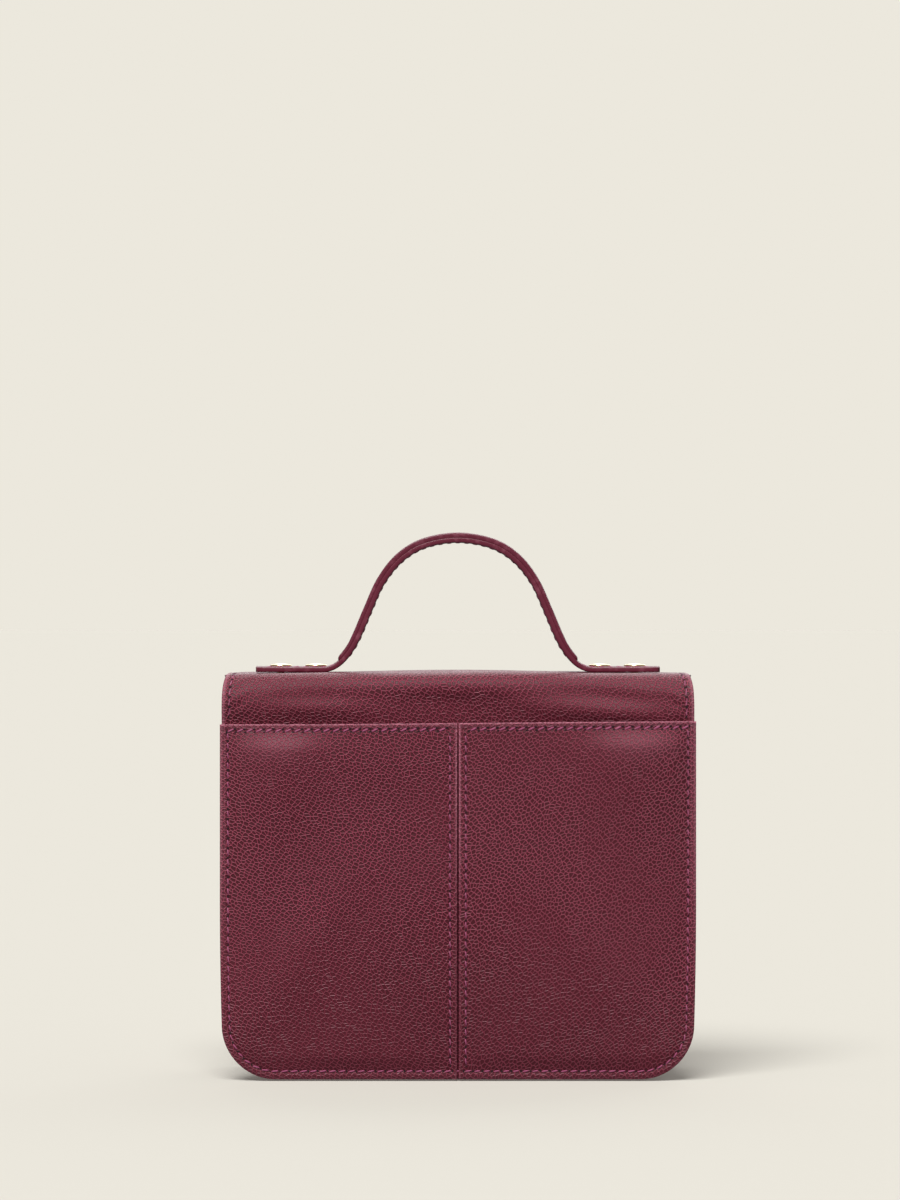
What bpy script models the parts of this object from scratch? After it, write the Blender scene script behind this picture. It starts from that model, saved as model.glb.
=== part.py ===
"""A small leather satchel with a riveted top handle, a rear slip pocket and a turn-lock flap.

Frame: metres, +Z up. The rear slip pocket faces -Y and the flap's lock faces +Y. The origin lies on
the surface that the bag stands on, under the middle of the bag's box.
Each leather panel, board, lining and piece of hardware is its own object.
"""

import math

import bmesh
import bpy
import numpy as np
from mathutils import Matrix, Vector

MM = 0.001

# Driving dimensions of the body.
HALF_WIDTH = 99.2 * MM
POCKET_HALF_WIDTH = 99.9 * MM
BODY_TOP = 170 * MM
CORNER_RADIUS = 22 * MM
GUSSET_DEPTH = 62 * MM
GAP = 0.3 * MM
CUTTER_REACH = 12 * MM

# Material thicknesses.
LEATHER = 1.4 * MM
POCKET_LEATHER = 1.3 * MM
GUSSET_LEATHER = 1.2 * MM
FLAP_LINING = 0.8 * MM
LINING = 0.6 * MM
BOARD = 0.5 * MM
BASE_BOARD = 1.8 * MM

# Rear slip pocket.
POCKET_TOP = 149.5 * MM
POCKET_BULGE = 5.2 * MM
POCKET_SEAM_GAP = 0.6 * MM
POCKET_BORDER = 5.5 * MM
POCKET_RISE = 90 * MM

# Gusset channel: how far its web lies in from the panel edges, and how far the sides fold in.
FLANGE_HEIGHT = 5 * MM
SIDE_FOLD = 7 * MM
FOLD_FLAT_HALF = 14 * MM
FOLD_START_Z = 6 * MM
FOLD_RISE = 34 * MM
WEB_CORNER = 1.5 * MM
GUSSET_TOP = 158 * MM
FRONT_TOP = 156 * MM

# Flap: a top part that turns at the rear fold, and a front part that turns at the front fold.
REAR_FOLD_RADIUS = 9 * MM
FRONT_FOLD_RADIUS = 8 * MM
FLAP_STANDOFF = 2.2 * MM
FLAP_LOW = 56 * MM
FLAP_CORNER = 24 * MM

# Turn lock.
LOCK_Z = 82 * MM
LOCK_PLATE = 1.2 * MM
LOCK_THIN = 0.6 * MM
LOCK_PLATE_SIZE = (18 * MM, 11 * MM)
LOCK_RING_SIZE = (16 * MM, 9 * MM)
LOCK_BASE_SIZE = (9 * MM, 5.5 * MM)
KNOB_HEAD = 3.6 * MM
KNOB_HALF_LENGTH = 8.5 * MM
KNOB_RADIUS = 3.2 * MM
KNOB_STEM_RADIUS = 2.6 * MM
KNOB_FLANGE_RADIUS = 4 * MM
KNOB_LIFT = 0.5 * MM
SLOT_CLEARANCE = 0.8 * MM

# Where the layers lie front to back. The two stacks are outside the gusset's flanges.
REAR_STACK = GAP + LEATHER + GAP + POCKET_LEATHER + POCKET_BULGE
FLAP_INNER = GAP + LEATHER + FLAP_STANDOFF
FLAP_OUTER = FLAP_INNER + FLAP_LINING + GAP + LEATHER
KNOB_BACK = FLAP_OUTER + GAP + LOCK_PLATE + KNOB_LIFT
FRONT_STACK = KNOB_BACK + KNOB_HEAD
REAR_Y = -(GUSSET_DEPTH + FRONT_STACK - REAR_STACK) / 2
FRONT_Y = REAR_Y + GUSSET_DEPTH
PANEL_OUTER_Y = REAR_Y - GAP - LEATHER
FLAP_FACE_Y = FRONT_Y + FLAP_OUTER
REAR_HINGE_Z = BODY_TOP - REAR_FOLD_RADIUS
FRONT_HINGE_Z = BODY_TOP - FRONT_FOLD_RADIUS
LINING_STANDOFF = 3 * MM
LINING_SLACK = 2.4 * MM
LINING_DROP = 3 * MM
BOARD_DROP = 6 * MM
BASE_BOARD_MARGIN = 5 * MM

# Handle: strap centre line from its middle to the tab, as (x, z), mirrored for the other half.
HANDLE_POINTS = [
    (0, 227.6),
    (14.4, 225.2),
    (24.8, 219.0),
    (32.8, 209.0),
    (38.5, 196.6),
    (43.0, 186.0),
    (46.6, 179.2),
    (50.6, 174.3),
    (55.2, 171.9),
    (62.0, 171.7),
    (72.0, 171.7),
    (84.8, 171.7),
]
HANDLE_SPLIT_X = 48 * MM
HANDLE_HINGE_Z = 177.5 * MM
TAB_THICKNESS = 2.8 * MM
GRIP_THICKNESS = 5.0 * MM
TAB_WIDTH = 19 * MM
GRIP_WIDTH = 16 * MM
RIVET_X = (60.5 * MM, 75.5 * MM)
GRIP_START = 6 * MM
GRIP_RISE = 34 * MM
TAB_ROUNDING = 4 * MM
FAR = 120 * MM
RIVET_POST = 1.5 * MM
RIVET_HEAD = 4.6 * MM
RIVET_CAP = 4.0 * MM
POST_REACH = 0.8 * MM
# Profiles as (radius short of the rim, height above the seat).
HEAD_PROFILE = [(0.2 * MM, 0), (0, 0.3 * MM), (0.7 * MM, 0.8 * MM), (2.2 * MM, 1.2 * MM)]
HEAD_PROFILE += [(RIVET_HEAD, 1.4 * MM)]
CAP_PROFILE = [(RIVET_CAP, -1.2 * MM), (1.0 * MM, -1.0 * MM), (0, -0.3 * MM), (0, 0)]

# Zipped inner pocket on the rear lining.
ZIP_Z = 124 * MM
ZIP_HALF_WINDOW = 62 * MM
ZIP_WINDOW = 3.6 * MM
SLIDER_HALF_LENGTH = 4.5 * MM
SLIDER_START_X = -56.5 * MM
PULL_LENGTH = 20 * MM
TAPE_THICKNESS = 0.8 * MM
TAPE_HALF_HEIGHT = 3.0 * MM
TAPE_SEAM_HALF = 0.25 * MM
TAPE_OVERRUN = 4 * MM
FACING_THICKNESS = 1.0 * MM
FACING_BORDER = (3 * MM, 9 * MM)
ZIP_BAG_HALF_HEIGHT = 42 * MM
ZIP_BAG_DROP = 36 * MM

ROUND_STEPS = 24
CORNER_STEPS = 7


def clear_scene():
    """Removes every object, so that the script can run in any open file."""
    for old in list(bpy.data.objects):
        bpy.data.objects.remove(old, do_unlink=True)


def make_material(name, colour, roughness, metallic=0.0):
    """A Principled BSDF with one colour, roughness and metallic value."""
    made = bpy.data.materials.new(name)
    made.use_nodes = True
    shader = made.node_tree.nodes["Principled BSDF"]
    shader.inputs["Base Color"].default_value = (*colour, 1)
    shader.inputs["Roughness"].default_value = roughness
    shader.inputs["Metallic"].default_value = metallic
    made.diffuse_color = (*colour, 1)
    return made


def make_materials():
    """Every material of the bag, by the name of what it is on."""
    return {
        "leather": make_material("burgundy_leather", (0.095, 0.012, 0.024), 0.5),
        "suede": make_material("flap_lining_leather", (0.075, 0.012, 0.02), 0.7),
        "lining": make_material("lining_cloth", (0.16, 0.045, 0.055), 0.85),
        "board": make_material("stiffening_board", (0.36, 0.3, 0.22), 0.9),
        "gold": make_material("pale_gold_metal", (0.83, 0.62, 0.33), 0.22, 1.0),
        "steel": make_material("nickel_metal", (0.6, 0.58, 0.55), 0.3, 1.0),
        "zip_tape": make_material("zip_tape_cloth", (0.07, 0.012, 0.02), 0.85),
    }


def add_object(name, bm, material, smooth_angle=35):
    """Turns a bmesh into an object with its material, shaded smooth up to an angle in degrees."""
    bmesh.ops.remove_doubles(bm, verts=bm.verts, dist=1e-6)
    bmesh.ops.recalc_face_normals(bm, faces=bm.faces)
    mesh = bpy.data.meshes.new(name)
    bm.to_mesh(mesh)
    bm.free()
    mesh.shade_smooth()
    mesh.set_sharp_from_angle(angle=math.radians(smooth_angle))
    obj = bpy.data.objects.new(name, mesh)
    bpy.context.scene.collection.objects.link(obj)
    mesh.materials.append(material)
    return obj


def as_cutter(obj):
    """Marks an object as a helper that is never part of the bag."""
    obj.hide_render = True
    obj.display_type = "WIRE"
    return obj


def cut(obj, *cutters):
    """Takes each cutter out of an object with an exact Boolean."""
    for cutter in cutters:
        modifier = obj.modifiers.new("cut_" + cutter.name, "BOOLEAN")
        modifier.operation = "DIFFERENCE"
        modifier.solver = "EXACT"
        modifier.object = cutter


def fuse(obj, *others):
    """Joins each other shape to an object with an exact Boolean, and hides it."""
    for other in others:
        modifier = obj.modifiers.new("join_" + other.name, "BOOLEAN")
        modifier.operation = "UNION"
        modifier.solver = "EXACT"
        modifier.object = as_cutter(other)


def carry(name, location, pieces, parent=None):
    """An empty on a joint's axis, which carries the pieces that move together and stay where they are."""
    pivot = bpy.data.objects.new(name, None)
    bpy.context.scene.collection.objects.link(pivot)
    pivot.empty_display_size = CORNER_RADIUS
    pivot.location = location
    if parent:
        pivot.parent = parent
        pivot.matrix_parent_inverse = Matrix.Translation(-parent.location)
    for piece in pieces:
        piece.parent = pivot
        piece.matrix_parent_inverse = Matrix.Translation(-Vector(location))
    return pivot


def solidify(obj, thickness):
    """Gives a sheet its thickness, on the side that its faces point away from."""
    modifier = obj.modifiers.new("thickness", "SOLIDIFY")
    modifier.thickness = thickness
    modifier.offset = -1
    modifier.use_even_offset = True


def arc(centre, radius, start, end, steps):
    """Points on an arc from one angle to another, in degrees, both ends included."""
    angles = np.radians(np.linspace(start, end, steps + 1))
    return [(centre[0] + radius * math.cos(a), centre[1] + radius * math.sin(a)) for a in angles]


def u_path(inset, top, half_width=HALF_WIDTH):
    """The panel's outline from its left top, round the bottom, to its right top, moved in by inset."""
    radius = CORNER_RADIUS - inset
    centre_x = half_width - CORNER_RADIUS
    heights = np.linspace(top, CORNER_RADIUS, 5)[:-1]
    side = [(-(half_width - inset), z) for z in heights]
    corner = arc((-centre_x, CORNER_RADIUS), radius, 180, 270, CORNER_STEPS)
    left = side + corner
    return left + [(-x, z) for x, z in reversed(left)]


def stadium(half_length, radius, steps=8):
    """A slot shape: two half circles joined by straight sides. half_length is to its far ends."""
    reach = half_length - radius
    right = arc((reach, 0), radius, -90, 90, steps)
    left = arc((-reach, 0), radius, 90, 270, steps)
    return right + left


def circle(radius, steps=ROUND_STEPS):
    """A closed circle of points round the origin."""
    return arc((0, 0), radius, 0, 360, steps)[:-1]


def rectangle(half_x, half_z, centre=(0, 0)):
    """The four corners of an upright rectangle."""
    signs = [(-1, -1), (1, -1), (1, 1), (-1, 1)]
    return [(centre[0] + sx * half_x, centre[1] + sz * half_z) for sx, sz in signs]


def plate(name, outline, y_low, y_high, material, centre=(0, 0)):
    """An upright plate: an outline in X and Z, extruded along Y from y_low to y_high."""
    bm = bmesh.new()
    ring = [bm.verts.new((centre[0] + x, y_low, centre[1] + z)) for x, z in outline]
    face = bm.faces.new(ring)
    extruded = bmesh.ops.extrude_face_region(bm, geom=[face])
    moved = [v for v in extruded["geom"] if isinstance(v, bmesh.types.BMVert)]
    bmesh.ops.translate(bm, verts=moved, vec=(0, y_high - y_low, 0))
    return add_object(name, bm, material)


def swept_in_x(name, profile, x_low, x_high, material):
    """A bar along X whose cross-section is a closed profile of (y, z) points."""
    bm = bmesh.new()
    ring = [bm.verts.new((x_low, y, z)) for y, z in profile]
    face = bm.faces.new(ring)
    extruded = bmesh.ops.extrude_face_region(bm, geom=[face])
    moved = [v for v in extruded["geom"] if isinstance(v, bmesh.types.BMVert)]
    bmesh.ops.translate(bm, verts=moved, vec=(x_high - x_low, 0, 0))
    return add_object(name, bm, material)


def turned(name, profile, location, material, axis="Z"):
    """A turned piece: (radius, height) points spun round an axis that runs through a location."""
    bm = bmesh.new()
    line = [bm.verts.new((r, 0, h)) for r, h in profile]
    edges = [bm.edges.new(pair) for pair in zip(line, line[1:])]
    geometry = line + edges
    round_z = {"cent": (0, 0, 0), "axis": (0, 0, 1), "angle": 2 * math.pi}
    bmesh.ops.spin(bm, geom=geometry, steps=ROUND_STEPS, use_merge=True, **round_z)
    turn = {"Z": Matrix.Identity(3), "Y": Matrix.Rotation(-math.pi / 2, 3, "X")}[axis]
    bmesh.ops.rotate(bm, verts=bm.verts, cent=(0, 0, 0), matrix=turn)
    obj = add_object(name, bm, material)
    obj.location = location
    return obj


def gusset_inset(y):
    """How far in from the panel edge the gusset's web lies at a depth y, as a share of the side fold."""
    middle = (REAR_Y + FRONT_Y) / 2
    reach = GUSSET_DEPTH / 2
    away = max(0.0, abs(y - middle) - FOLD_FLAT_HALF) / (reach - FOLD_FLAT_HALF)
    share = 1 - away
    return share * share * (3 - 2 * share)


def channel_section(web_inset, has_flanges, side_y, rows=9):
    """Points (inset, y, fold share) across a channel: its web, between two flanges if it has them."""
    low, high = REAR_Y + side_y, FRONT_Y - side_y
    across = np.linspace(low + WEB_CORNER, high - WEB_CORNER, rows)
    rear = [(web_inset, low, 0.0)]
    if has_flanges:
        rear = [(0.0, low, 0.0), (web_inset - WEB_CORNER, low, 0.0)]
    web = [(web_inset, y, gusset_inset(y)) for y in across]
    front = [(inset, REAR_Y + FRONT_Y - y, share) for inset, y, share in reversed(rear)]
    return rear + web + front


def fold_at(x, z):
    """The side fold's share at a place on the outline: full on the sides, none along the bottom."""
    height = min(1.0, max(0.0, (z - FOLD_START_Z) / FOLD_RISE))
    return height * height * (3 - 2 * height) if abs(x) > HALF_WIDTH / 2 else 0.0


def channel_sheet(section, top, bm):
    """The channel's sheet as rows of vertices: each section point follows the outline at its inset."""
    rows = []
    outer = u_path(0, top)
    for inset, y, share in section:
        path = u_path(inset, top)
        row = []
        for (x, z), (edge_x, edge_z) in zip(path, outer):
            fold = SIDE_FOLD * share * fold_at(edge_x, edge_z)
            row.append(bm.verts.new((x - math.copysign(fold, x), y, z)))
        rows.append(row)
    for row, after in zip(rows, rows[1:]):
        for i in range(len(row) - 1):
            bm.faces.new((row[i], row[i + 1], after[i + 1], after[i]))
    return rows


def build_gusset(materials):
    """The one strip that makes both sides and the bottom, its edges turned out as flanges."""
    bm = bmesh.new()
    channel_sheet(channel_section(FLANGE_HEIGHT, True, GUSSET_LEATHER), GUSSET_TOP, bm)
    gusset = add_object("gusset", bm, materials["leather"])
    # The sheet is the outer skin: its faces point out of the bag, so the thickness goes inwards.
    bottom = max(gusset.data.polygons, key=lambda face: abs(face.normal.z))
    if bottom.normal.z > 0:
        gusset.data.flip_normals()
    solidify(gusset, GUSSET_LEATHER)


def build_lining(materials):
    """The cloth bag inside: a strip that follows the gusset, with a rear and a front face."""
    bm = bmesh.new()
    inset = FLANGE_HEIGHT + GUSSET_LEATHER + BOARD * 2 + LINING_SLACK
    top = FRONT_TOP - LINING_DROP
    rows = channel_sheet(channel_section(inset, False, LINING_STANDOFF), top, bm)
    for row in (rows[0], rows[-1]):
        bm.faces.new(row)
    lining = add_object("lining", bm, materials["lining"])
    front = max(lining.data.polygons, key=lambda face: face.area * (face.center.y > 0))
    if front.normal.y < 0:
        lining.data.flip_normals()
    solidify(lining, LINING)


def build_panels(materials):
    """Both panels, their boards and the base board. Returns the cutter for the lock's stem hole."""
    leather, board = materials["leather"], materials["board"]
    base_low = FLANGE_HEIGHT + GUSSET_LEATHER + GAP
    base_outline = rectangle(HALF_WIDTH - CORNER_RADIUS, BASE_BOARD / 2)
    base_centre = (0, base_low + BASE_BOARD / 2)
    base_rear, base_front = REAR_Y + BASE_BOARD_MARGIN, FRONT_Y - BASE_BOARD_MARGIN
    plate("base_board", base_outline, base_rear, base_front, board, base_centre)
    rear_outline = u_path(0, REAR_HINGE_Z - GAP)
    front_outline = u_path(0, FRONT_TOP)
    plate("rear_panel", rear_outline, PANEL_OUTER_Y, PANEL_OUTER_Y + LEATHER, leather)
    front = plate("front_panel", front_outline, FRONT_Y + GAP, FRONT_Y + GAP + LEATHER, leather)
    board_inset = FLANGE_HEIGHT + GUSSET_LEATHER + LINING_STANDOFF
    board_top = FRONT_TOP - BOARD_DROP
    board_outline = u_path(board_inset, board_top)
    plate("rear_stiffener", board_outline, REAR_Y, REAR_Y + BOARD, board)
    front_board = plate("front_stiffener", board_outline, FRONT_Y - BOARD, FRONT_Y, board)
    stem_hole = cylinder(KNOB_STEM_RADIUS + GAP, -CUTTER_REACH, CUTTER_REACH)
    stem_cutter = as_cutter(turned("stem_cutter", stem_hole, (0, FRONT_Y, LOCK_Z), board, "Y"))
    cut(front, stem_cutter)
    cut(front_board, stem_cutter)
    return stem_cutter


def cylinder(radius, low, high):
    """The turning profile of a plain cylinder."""
    return [(0, low), (radius, low), (radius, high), (0, high)]


def pocket_bulge(x, z):
    """How far the slip pocket's leather stands off the rear panel: none at its sewn edges."""
    reach = POCKET_HALF_WIDTH - POCKET_BORDER
    across = max(0.0, 1 - (abs(x) / reach) ** 2)
    up = min(1.0, max(0.0, (z - POCKET_BORDER) / POCKET_RISE))
    return POCKET_BULGE * across**0.8 * math.sin(up * math.pi / 2)


def build_pocket(side, materials):
    """One half of the rear slip pocket, which meets the other half at the centre seam."""
    seam_x = POCKET_SEAM_GAP / 2
    corner_x = POCKET_HALF_WIDTH - CORNER_RADIUS
    corner = arc((corner_x, CORNER_RADIUS), CORNER_RADIUS, -90, 0, CORNER_STEPS)
    above = [(POCKET_HALF_WIDTH, z) for z in np.linspace(CORNER_RADIUS, POCKET_TOP, 9)[1:]]
    shares = 1 - np.linspace(1, 0, 9) ** 1.5
    bm = bmesh.new()
    rows = []
    for edge_x, z in corner + above:
        xs = seam_x + (edge_x - seam_x) * shares
        rows.append([bm.verts.new((side * x, -pocket_bulge(x, z), z)) for x in xs])
    for row, upper in zip(rows, rows[1:]):
        for i in range(len(row) - 1):
            bm.faces.new((row[i], row[i + 1], upper[i + 1], upper[i]))
    name = "slip_pocket_left" if side < 0 else "slip_pocket_right"
    pocket = add_object(name, bm, materials["leather"])
    pocket.location = (0, PANEL_OUTER_Y - GAP - POCKET_LEATHER, 0)
    if pocket.data.polygons[0].normal.y > 0:
        pocket.data.flip_normals()
    solidify(pocket, POCKET_LEATHER)


def flap_top_curve(inset):
    """The flap's top part at a depth below its outer face, from the rear fold to the front fold."""
    rear = REAR_FOLD_RADIUS - inset
    front = FRONT_FOLD_RADIUS - inset
    rear_centre = (PANEL_OUTER_Y + REAR_FOLD_RADIUS, REAR_HINGE_Z)
    front_centre = (FLAP_FACE_Y - FRONT_FOLD_RADIUS, FRONT_HINGE_Z)
    return arc(rear_centre, rear, 180, 90, 6) + arc(front_centre, front, 90, 0, 6)


def rivet_places():
    """(name, x) of the four handle rivets, from left to right."""
    inner, outer = RIVET_X
    return [("outer_left", -outer), ("inner_left", -inner), ("inner_right", inner), ("outer_right", outer)]


def build_flap(materials):
    """The flap's top and front parts, each with its lining."""
    half = HALF_WIDTH
    lining_depth = LEATHER + GAP
    top_pieces = []
    for name, outer, inner, material in (
        ("flap_top", 0.0, LEATHER, "leather"),
        ("flap_top_lining", lining_depth, lining_depth + FLAP_LINING, "suede"),
    ):
        profile = flap_top_curve(outer) + flap_top_curve(inner)[::-1]
        top_pieces.append(swept_in_x(name, profile, -half, half, materials[material]))
    outline = [(x, z + FLAP_LOW) for x, z in flap_front_outline()]
    front_pieces = []
    for name, outer, inner, material in (
        ("flap_front", 0.0, LEATHER, "leather"),
        ("flap_front_lining", lining_depth, lining_depth + FLAP_LINING, "suede"),
    ):
        made = plate(name, outline, FLAP_FACE_Y - inner, FLAP_FACE_Y - outer, materials[material])
        front_pieces.append(made)
    return top_pieces, front_pieces


def flap_front_outline():
    """The front part of the flap, measured from its lowest edge, with round lower corners."""
    reach = HALF_WIDTH - FLAP_CORNER
    left = arc((-reach, FLAP_CORNER), FLAP_CORNER, 180, 270, CORNER_STEPS)
    right = [(-x, z) for x, z in reversed(left)]
    top = FRONT_HINGE_Z - GAP - FLAP_LOW
    return left + right + [(HALF_WIDTH, top), (-HALF_WIDTH, top)]


def build_lock(front_pieces, stem_cutter, materials):
    """The turn lock's plates, base and knob. Returns the plates that the flap carries, and the knob."""
    gold, steel = materials["gold"], materials["steel"]
    centre = (0, LOCK_Z)
    plate_low = FLAP_FACE_Y + GAP
    slot = as_cutter(
        plate(
            "lock_slot",
            stadium(KNOB_HALF_LENGTH + SLOT_CLEARANCE, KNOB_RADIUS + SLOT_CLEARANCE),
            FRONT_Y + GAP + LEATHER + GAP,
            plate_low + 5 * MM,
            gold,
            centre,
        )
    )
    front = plate("lock_plate", stadium(*LOCK_PLATE_SIZE), plate_low, plate_low + LOCK_PLATE, gold, centre)
    cut(front, slot)
    ring_low = FLAP_FACE_Y - LEATHER - GAP - FLAP_LINING - GAP
    ring = plate("lock_plate_back", stadium(*LOCK_RING_SIZE), ring_low - LOCK_THIN, ring_low, steel, centre)
    cut(ring, slot)
    for piece in front_pieces:
        cut(piece, slot)

    base_low = FRONT_Y + GAP + LEATHER + GAP
    base_outline = stadium(*LOCK_BASE_SIZE)
    base = plate("lock_base", base_outline, base_low, base_low + LOCK_THIN, gold, centre)
    cut(base, stem_cutter)
    back_high = FRONT_Y - BOARD - GAP
    back = plate("lock_base_back", base_outline, back_high - LOCK_THIN, back_high, steel, centre)
    cut(back, stem_cutter)

    bm = bmesh.new()
    head_low = FRONT_Y + KNOB_BACK
    outlines = [
        (stadium(KNOB_HALF_LENGTH - 0.4 * MM, KNOB_RADIUS - 0.4 * MM), head_low),
        (stadium(KNOB_HALF_LENGTH, KNOB_RADIUS), head_low + 0.5 * MM),
        (stadium(KNOB_HALF_LENGTH, KNOB_RADIUS), head_low + KNOB_HEAD - 1.0 * MM),
        (stadium(KNOB_HALF_LENGTH - 1.0 * MM, KNOB_RADIUS - 1.0 * MM), head_low + KNOB_HEAD),
    ]
    rings = [[bm.verts.new((x, y, z + LOCK_Z)) for x, z in outline] for outline, y in outlines]
    for ring_a, ring_b in zip(rings, rings[1:]):
        for i in range(len(ring_a)):
            j = (i + 1) % len(ring_a)
            bm.faces.new((ring_a[i], ring_a[j], ring_b[j], ring_b[i]))
    bm.faces.new(rings[0])
    bm.faces.new(rings[-1])
    knob = add_object("lock_knob", bm, gold)
    flange_high = back_high - LOCK_THIN - GAP
    flange_low = flange_high - LOCK_THIN
    stem_high = head_low + KNOB_HEAD / 2
    stem = turned(
        "knob_stem",
        [
            (0, flange_low),
            (KNOB_FLANGE_RADIUS, flange_low),
            (KNOB_FLANGE_RADIUS, flange_high),
            (KNOB_STEM_RADIUS, flange_high),
            (KNOB_STEM_RADIUS, stem_high),
            (0, stem_high),
        ],
        (0, 0, LOCK_Z),
        gold,
        "Y",
    )
    fuse(knob, stem)
    return [front, ring], knob


def catmull_rom(points, steps):
    """A smooth curve through points: each span between two of them is one cubic, in equal steps."""
    pts = [Vector(p) for p in points]
    pts = [pts[0] * 2 - pts[1], *pts, pts[-1] * 2 - pts[-2]]
    curve = []
    for a, b, c, d in zip(pts, pts[1:], pts[2:], pts[3:]):
        for k in range(steps):
            t = k / steps
            square = (2 * a - 5 * b + 4 * c - d) * t**2
            cube = (3 * b - a - 3 * c + d) * t**3
            curve.append((2 * b + (c - a) * t + square + cube) / 2)
    return curve + [pts[-2]]


def handle_centre_line():
    """The strap's centre line from its left end to its right end, as (x, z) vectors."""
    half = [(x * MM, z * MM) for x, z in HANDLE_POINTS]
    left = [(-x, z) for x, z in reversed(half[1:])]
    return catmull_rom(left + half, 4)


def strap_section(width, thickness):
    """A strap's cross-section: a rectangle with well rounded edges, as (across, up) points."""
    radius = thickness * 0.4
    reach_y, reach_n = width / 2 - radius, thickness / 2 - radius
    signs = [(1, -1), (1, 1), (-1, 1), (-1, -1)]
    points = []
    for quarter, (sign_y, sign_n) in enumerate(signs):
        start = 90 * (quarter - 1)
        points += arc((sign_y * reach_y, sign_n * reach_n), radius, start, start + 90, 2)
    return points


def strap_mesh():
    """The whole handle strap as a bmesh: thick in the hand, thin and wide where it is riveted."""
    line = handle_centre_line()
    end_x = line[-1].x
    bm = bmesh.new()
    rings = []
    for i, point in enumerate(line):
        along = (line[min(i + 1, len(line) - 1)] - line[max(i - 1, 0)]).normalized()
        normal = Vector((-along.y, along.x))
        grip = min(1.0, max(0.0, (point.y - BODY_TOP - GRIP_START) / GRIP_RISE))
        grip = grip * grip * (3 - 2 * grip)
        thickness = TAB_THICKNESS + (GRIP_THICKNESS - TAB_THICKNESS) * grip
        width = TAB_WIDTH + (GRIP_WIDTH - TAB_WIDTH) * grip
        short = max(0.0, TAB_ROUNDING - (end_x - abs(point.x)))
        width -= 2 * (TAB_ROUNDING - math.sqrt(TAB_ROUNDING**2 - short**2)) * 0.8
        section = strap_section(width, thickness)
        rings.append([bm.verts.new((point.x + normal.x * n, y, point.y + normal.y * n)) for y, n in section])
    for ring, after in zip(rings, rings[1:]):
        for i in range(len(ring)):
            j = (i + 1) % len(ring)
            bm.faces.new((ring[i], ring[j], after[j], after[i]))
    bm.faces.new(rings[0])
    bm.faces.new(rings[-1])
    bmesh.ops.recalc_face_normals(bm, faces=bm.faces)
    return bm


def strap_between(name, x_low, x_high, material):
    """The stretch of the handle strap between two upright planes, closed at each cut."""
    bm = strap_mesh()
    for x, direction in ((x_low, -1), (x_high, 1)):
        geometry = bm.verts[:] + bm.edges[:] + bm.faces[:]
        plane = {"plane_co": (x, 0, 0), "plane_no": (direction, 0, 0)}
        bmesh.ops.bisect_plane(bm, geom=geometry, clear_outer=True, **plane)
        open_edges = [edge for edge in bm.edges if edge.is_boundary]
        if open_edges:
            bmesh.ops.holes_fill(bm, edges=open_edges, sides=0)
    return add_object(name, bm, material)


def build_handle(flap_tops, materials):
    """The handle: its leaning strap, and its feet, rivets and rivet caps. Returns (strap, the others)."""
    leather = materials["leather"]
    split = HANDLE_SPLIT_X
    strap = strap_between("handle_strap", -split + GAP / 2, split - GAP / 2, leather)
    feet = {
        -1: strap_between("handle_foot_left", -FAR, -split - GAP / 2, leather),
        1: strap_between("handle_foot_right", split + GAP / 2, FAR, leather),
    }
    fixed = list(feet.values())
    tab_top = HANDLE_POINTS[-1][1] * MM + TAB_THICKNESS / 2
    lining_low = BODY_TOP - LEATHER - GAP - FLAP_LINING
    for name, x in rivet_places():
        bore = cylinder(RIVET_POST + GAP, -CUTTER_REACH, CUTTER_REACH)
        hole = as_cutter(turned("hole_" + name, bore, (x, 0, BODY_TOP), materials["gold"]))
        cut(feet[1 if x > 0 else -1], hole)
        for piece in flap_tops:
            cut(piece, hole)
        head_low = tab_top + GAP
        post_low = lining_low - POST_REACH
        head = [(0, post_low), (RIVET_POST, post_low), (RIVET_POST, head_low)]
        head += [(RIVET_HEAD - short, head_low + up) for short, up in HEAD_PROFILE]
        fixed.append(turned("rivet_" + name, head, (x, 0, 0), materials["gold"]))
        cap_high = lining_low - GAP
        cap = [(RIVET_CAP - short, cap_high + up) for short, up in CAP_PROFILE]
        bore_radius, bore_low = RIVET_POST + GAP, post_low - GAP
        cap += [(bore_radius, cap_high), (bore_radius, bore_low), (0, bore_low)]
        fixed.append(turned("rivet_cap_" + name, cap, (x, 0, 0), materials["steel"]))
    return strap, fixed


def build_zip_pocket(materials):
    """The zipped pocket on the rear lining, with its zip. Returns the slider and its pull."""
    face_y = REAR_Y + LINING_STANDOFF + LINING
    tape_low, tape_high = face_y + GAP, face_y + GAP + TAPE_THICKNESS
    reach = ZIP_HALF_WINDOW + TAPE_OVERRUN
    for name, sign in (("zip_tape_upper", 1), ("zip_tape_lower", -1)):
        centre = (0, ZIP_Z + sign * (TAPE_HALF_HEIGHT + TAPE_SEAM_HALF))
        plate(name, rectangle(reach, TAPE_HALF_HEIGHT), tape_low, tape_high, materials["zip_tape"], centre)
    centre = (0, ZIP_Z)
    opening = rectangle(ZIP_HALF_WINDOW, ZIP_WINDOW)
    window = as_cutter(plate("zip_window", opening, tape_low, CUTTER_REACH, materials["gold"], centre))
    facing_low = tape_high + GAP
    border = rectangle(reach + FACING_BORDER[0], FACING_BORDER[1])
    facing_high = facing_low + FACING_THICKNESS
    facing = plate("zip_facing", border, facing_low, facing_high, materials["leather"], centre)
    cut(facing, window)
    plate(
        "zip_pocket_bag",
        rectangle(reach, ZIP_BAG_HALF_HEIGHT),
        REAR_Y + BOARD + GAP,
        REAR_Y + LINING_STANDOFF - GAP,
        materials["lining"],
        (0, ZIP_Z - ZIP_BAG_DROP),
    )
    return build_slider(facing_low, materials)


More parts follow.
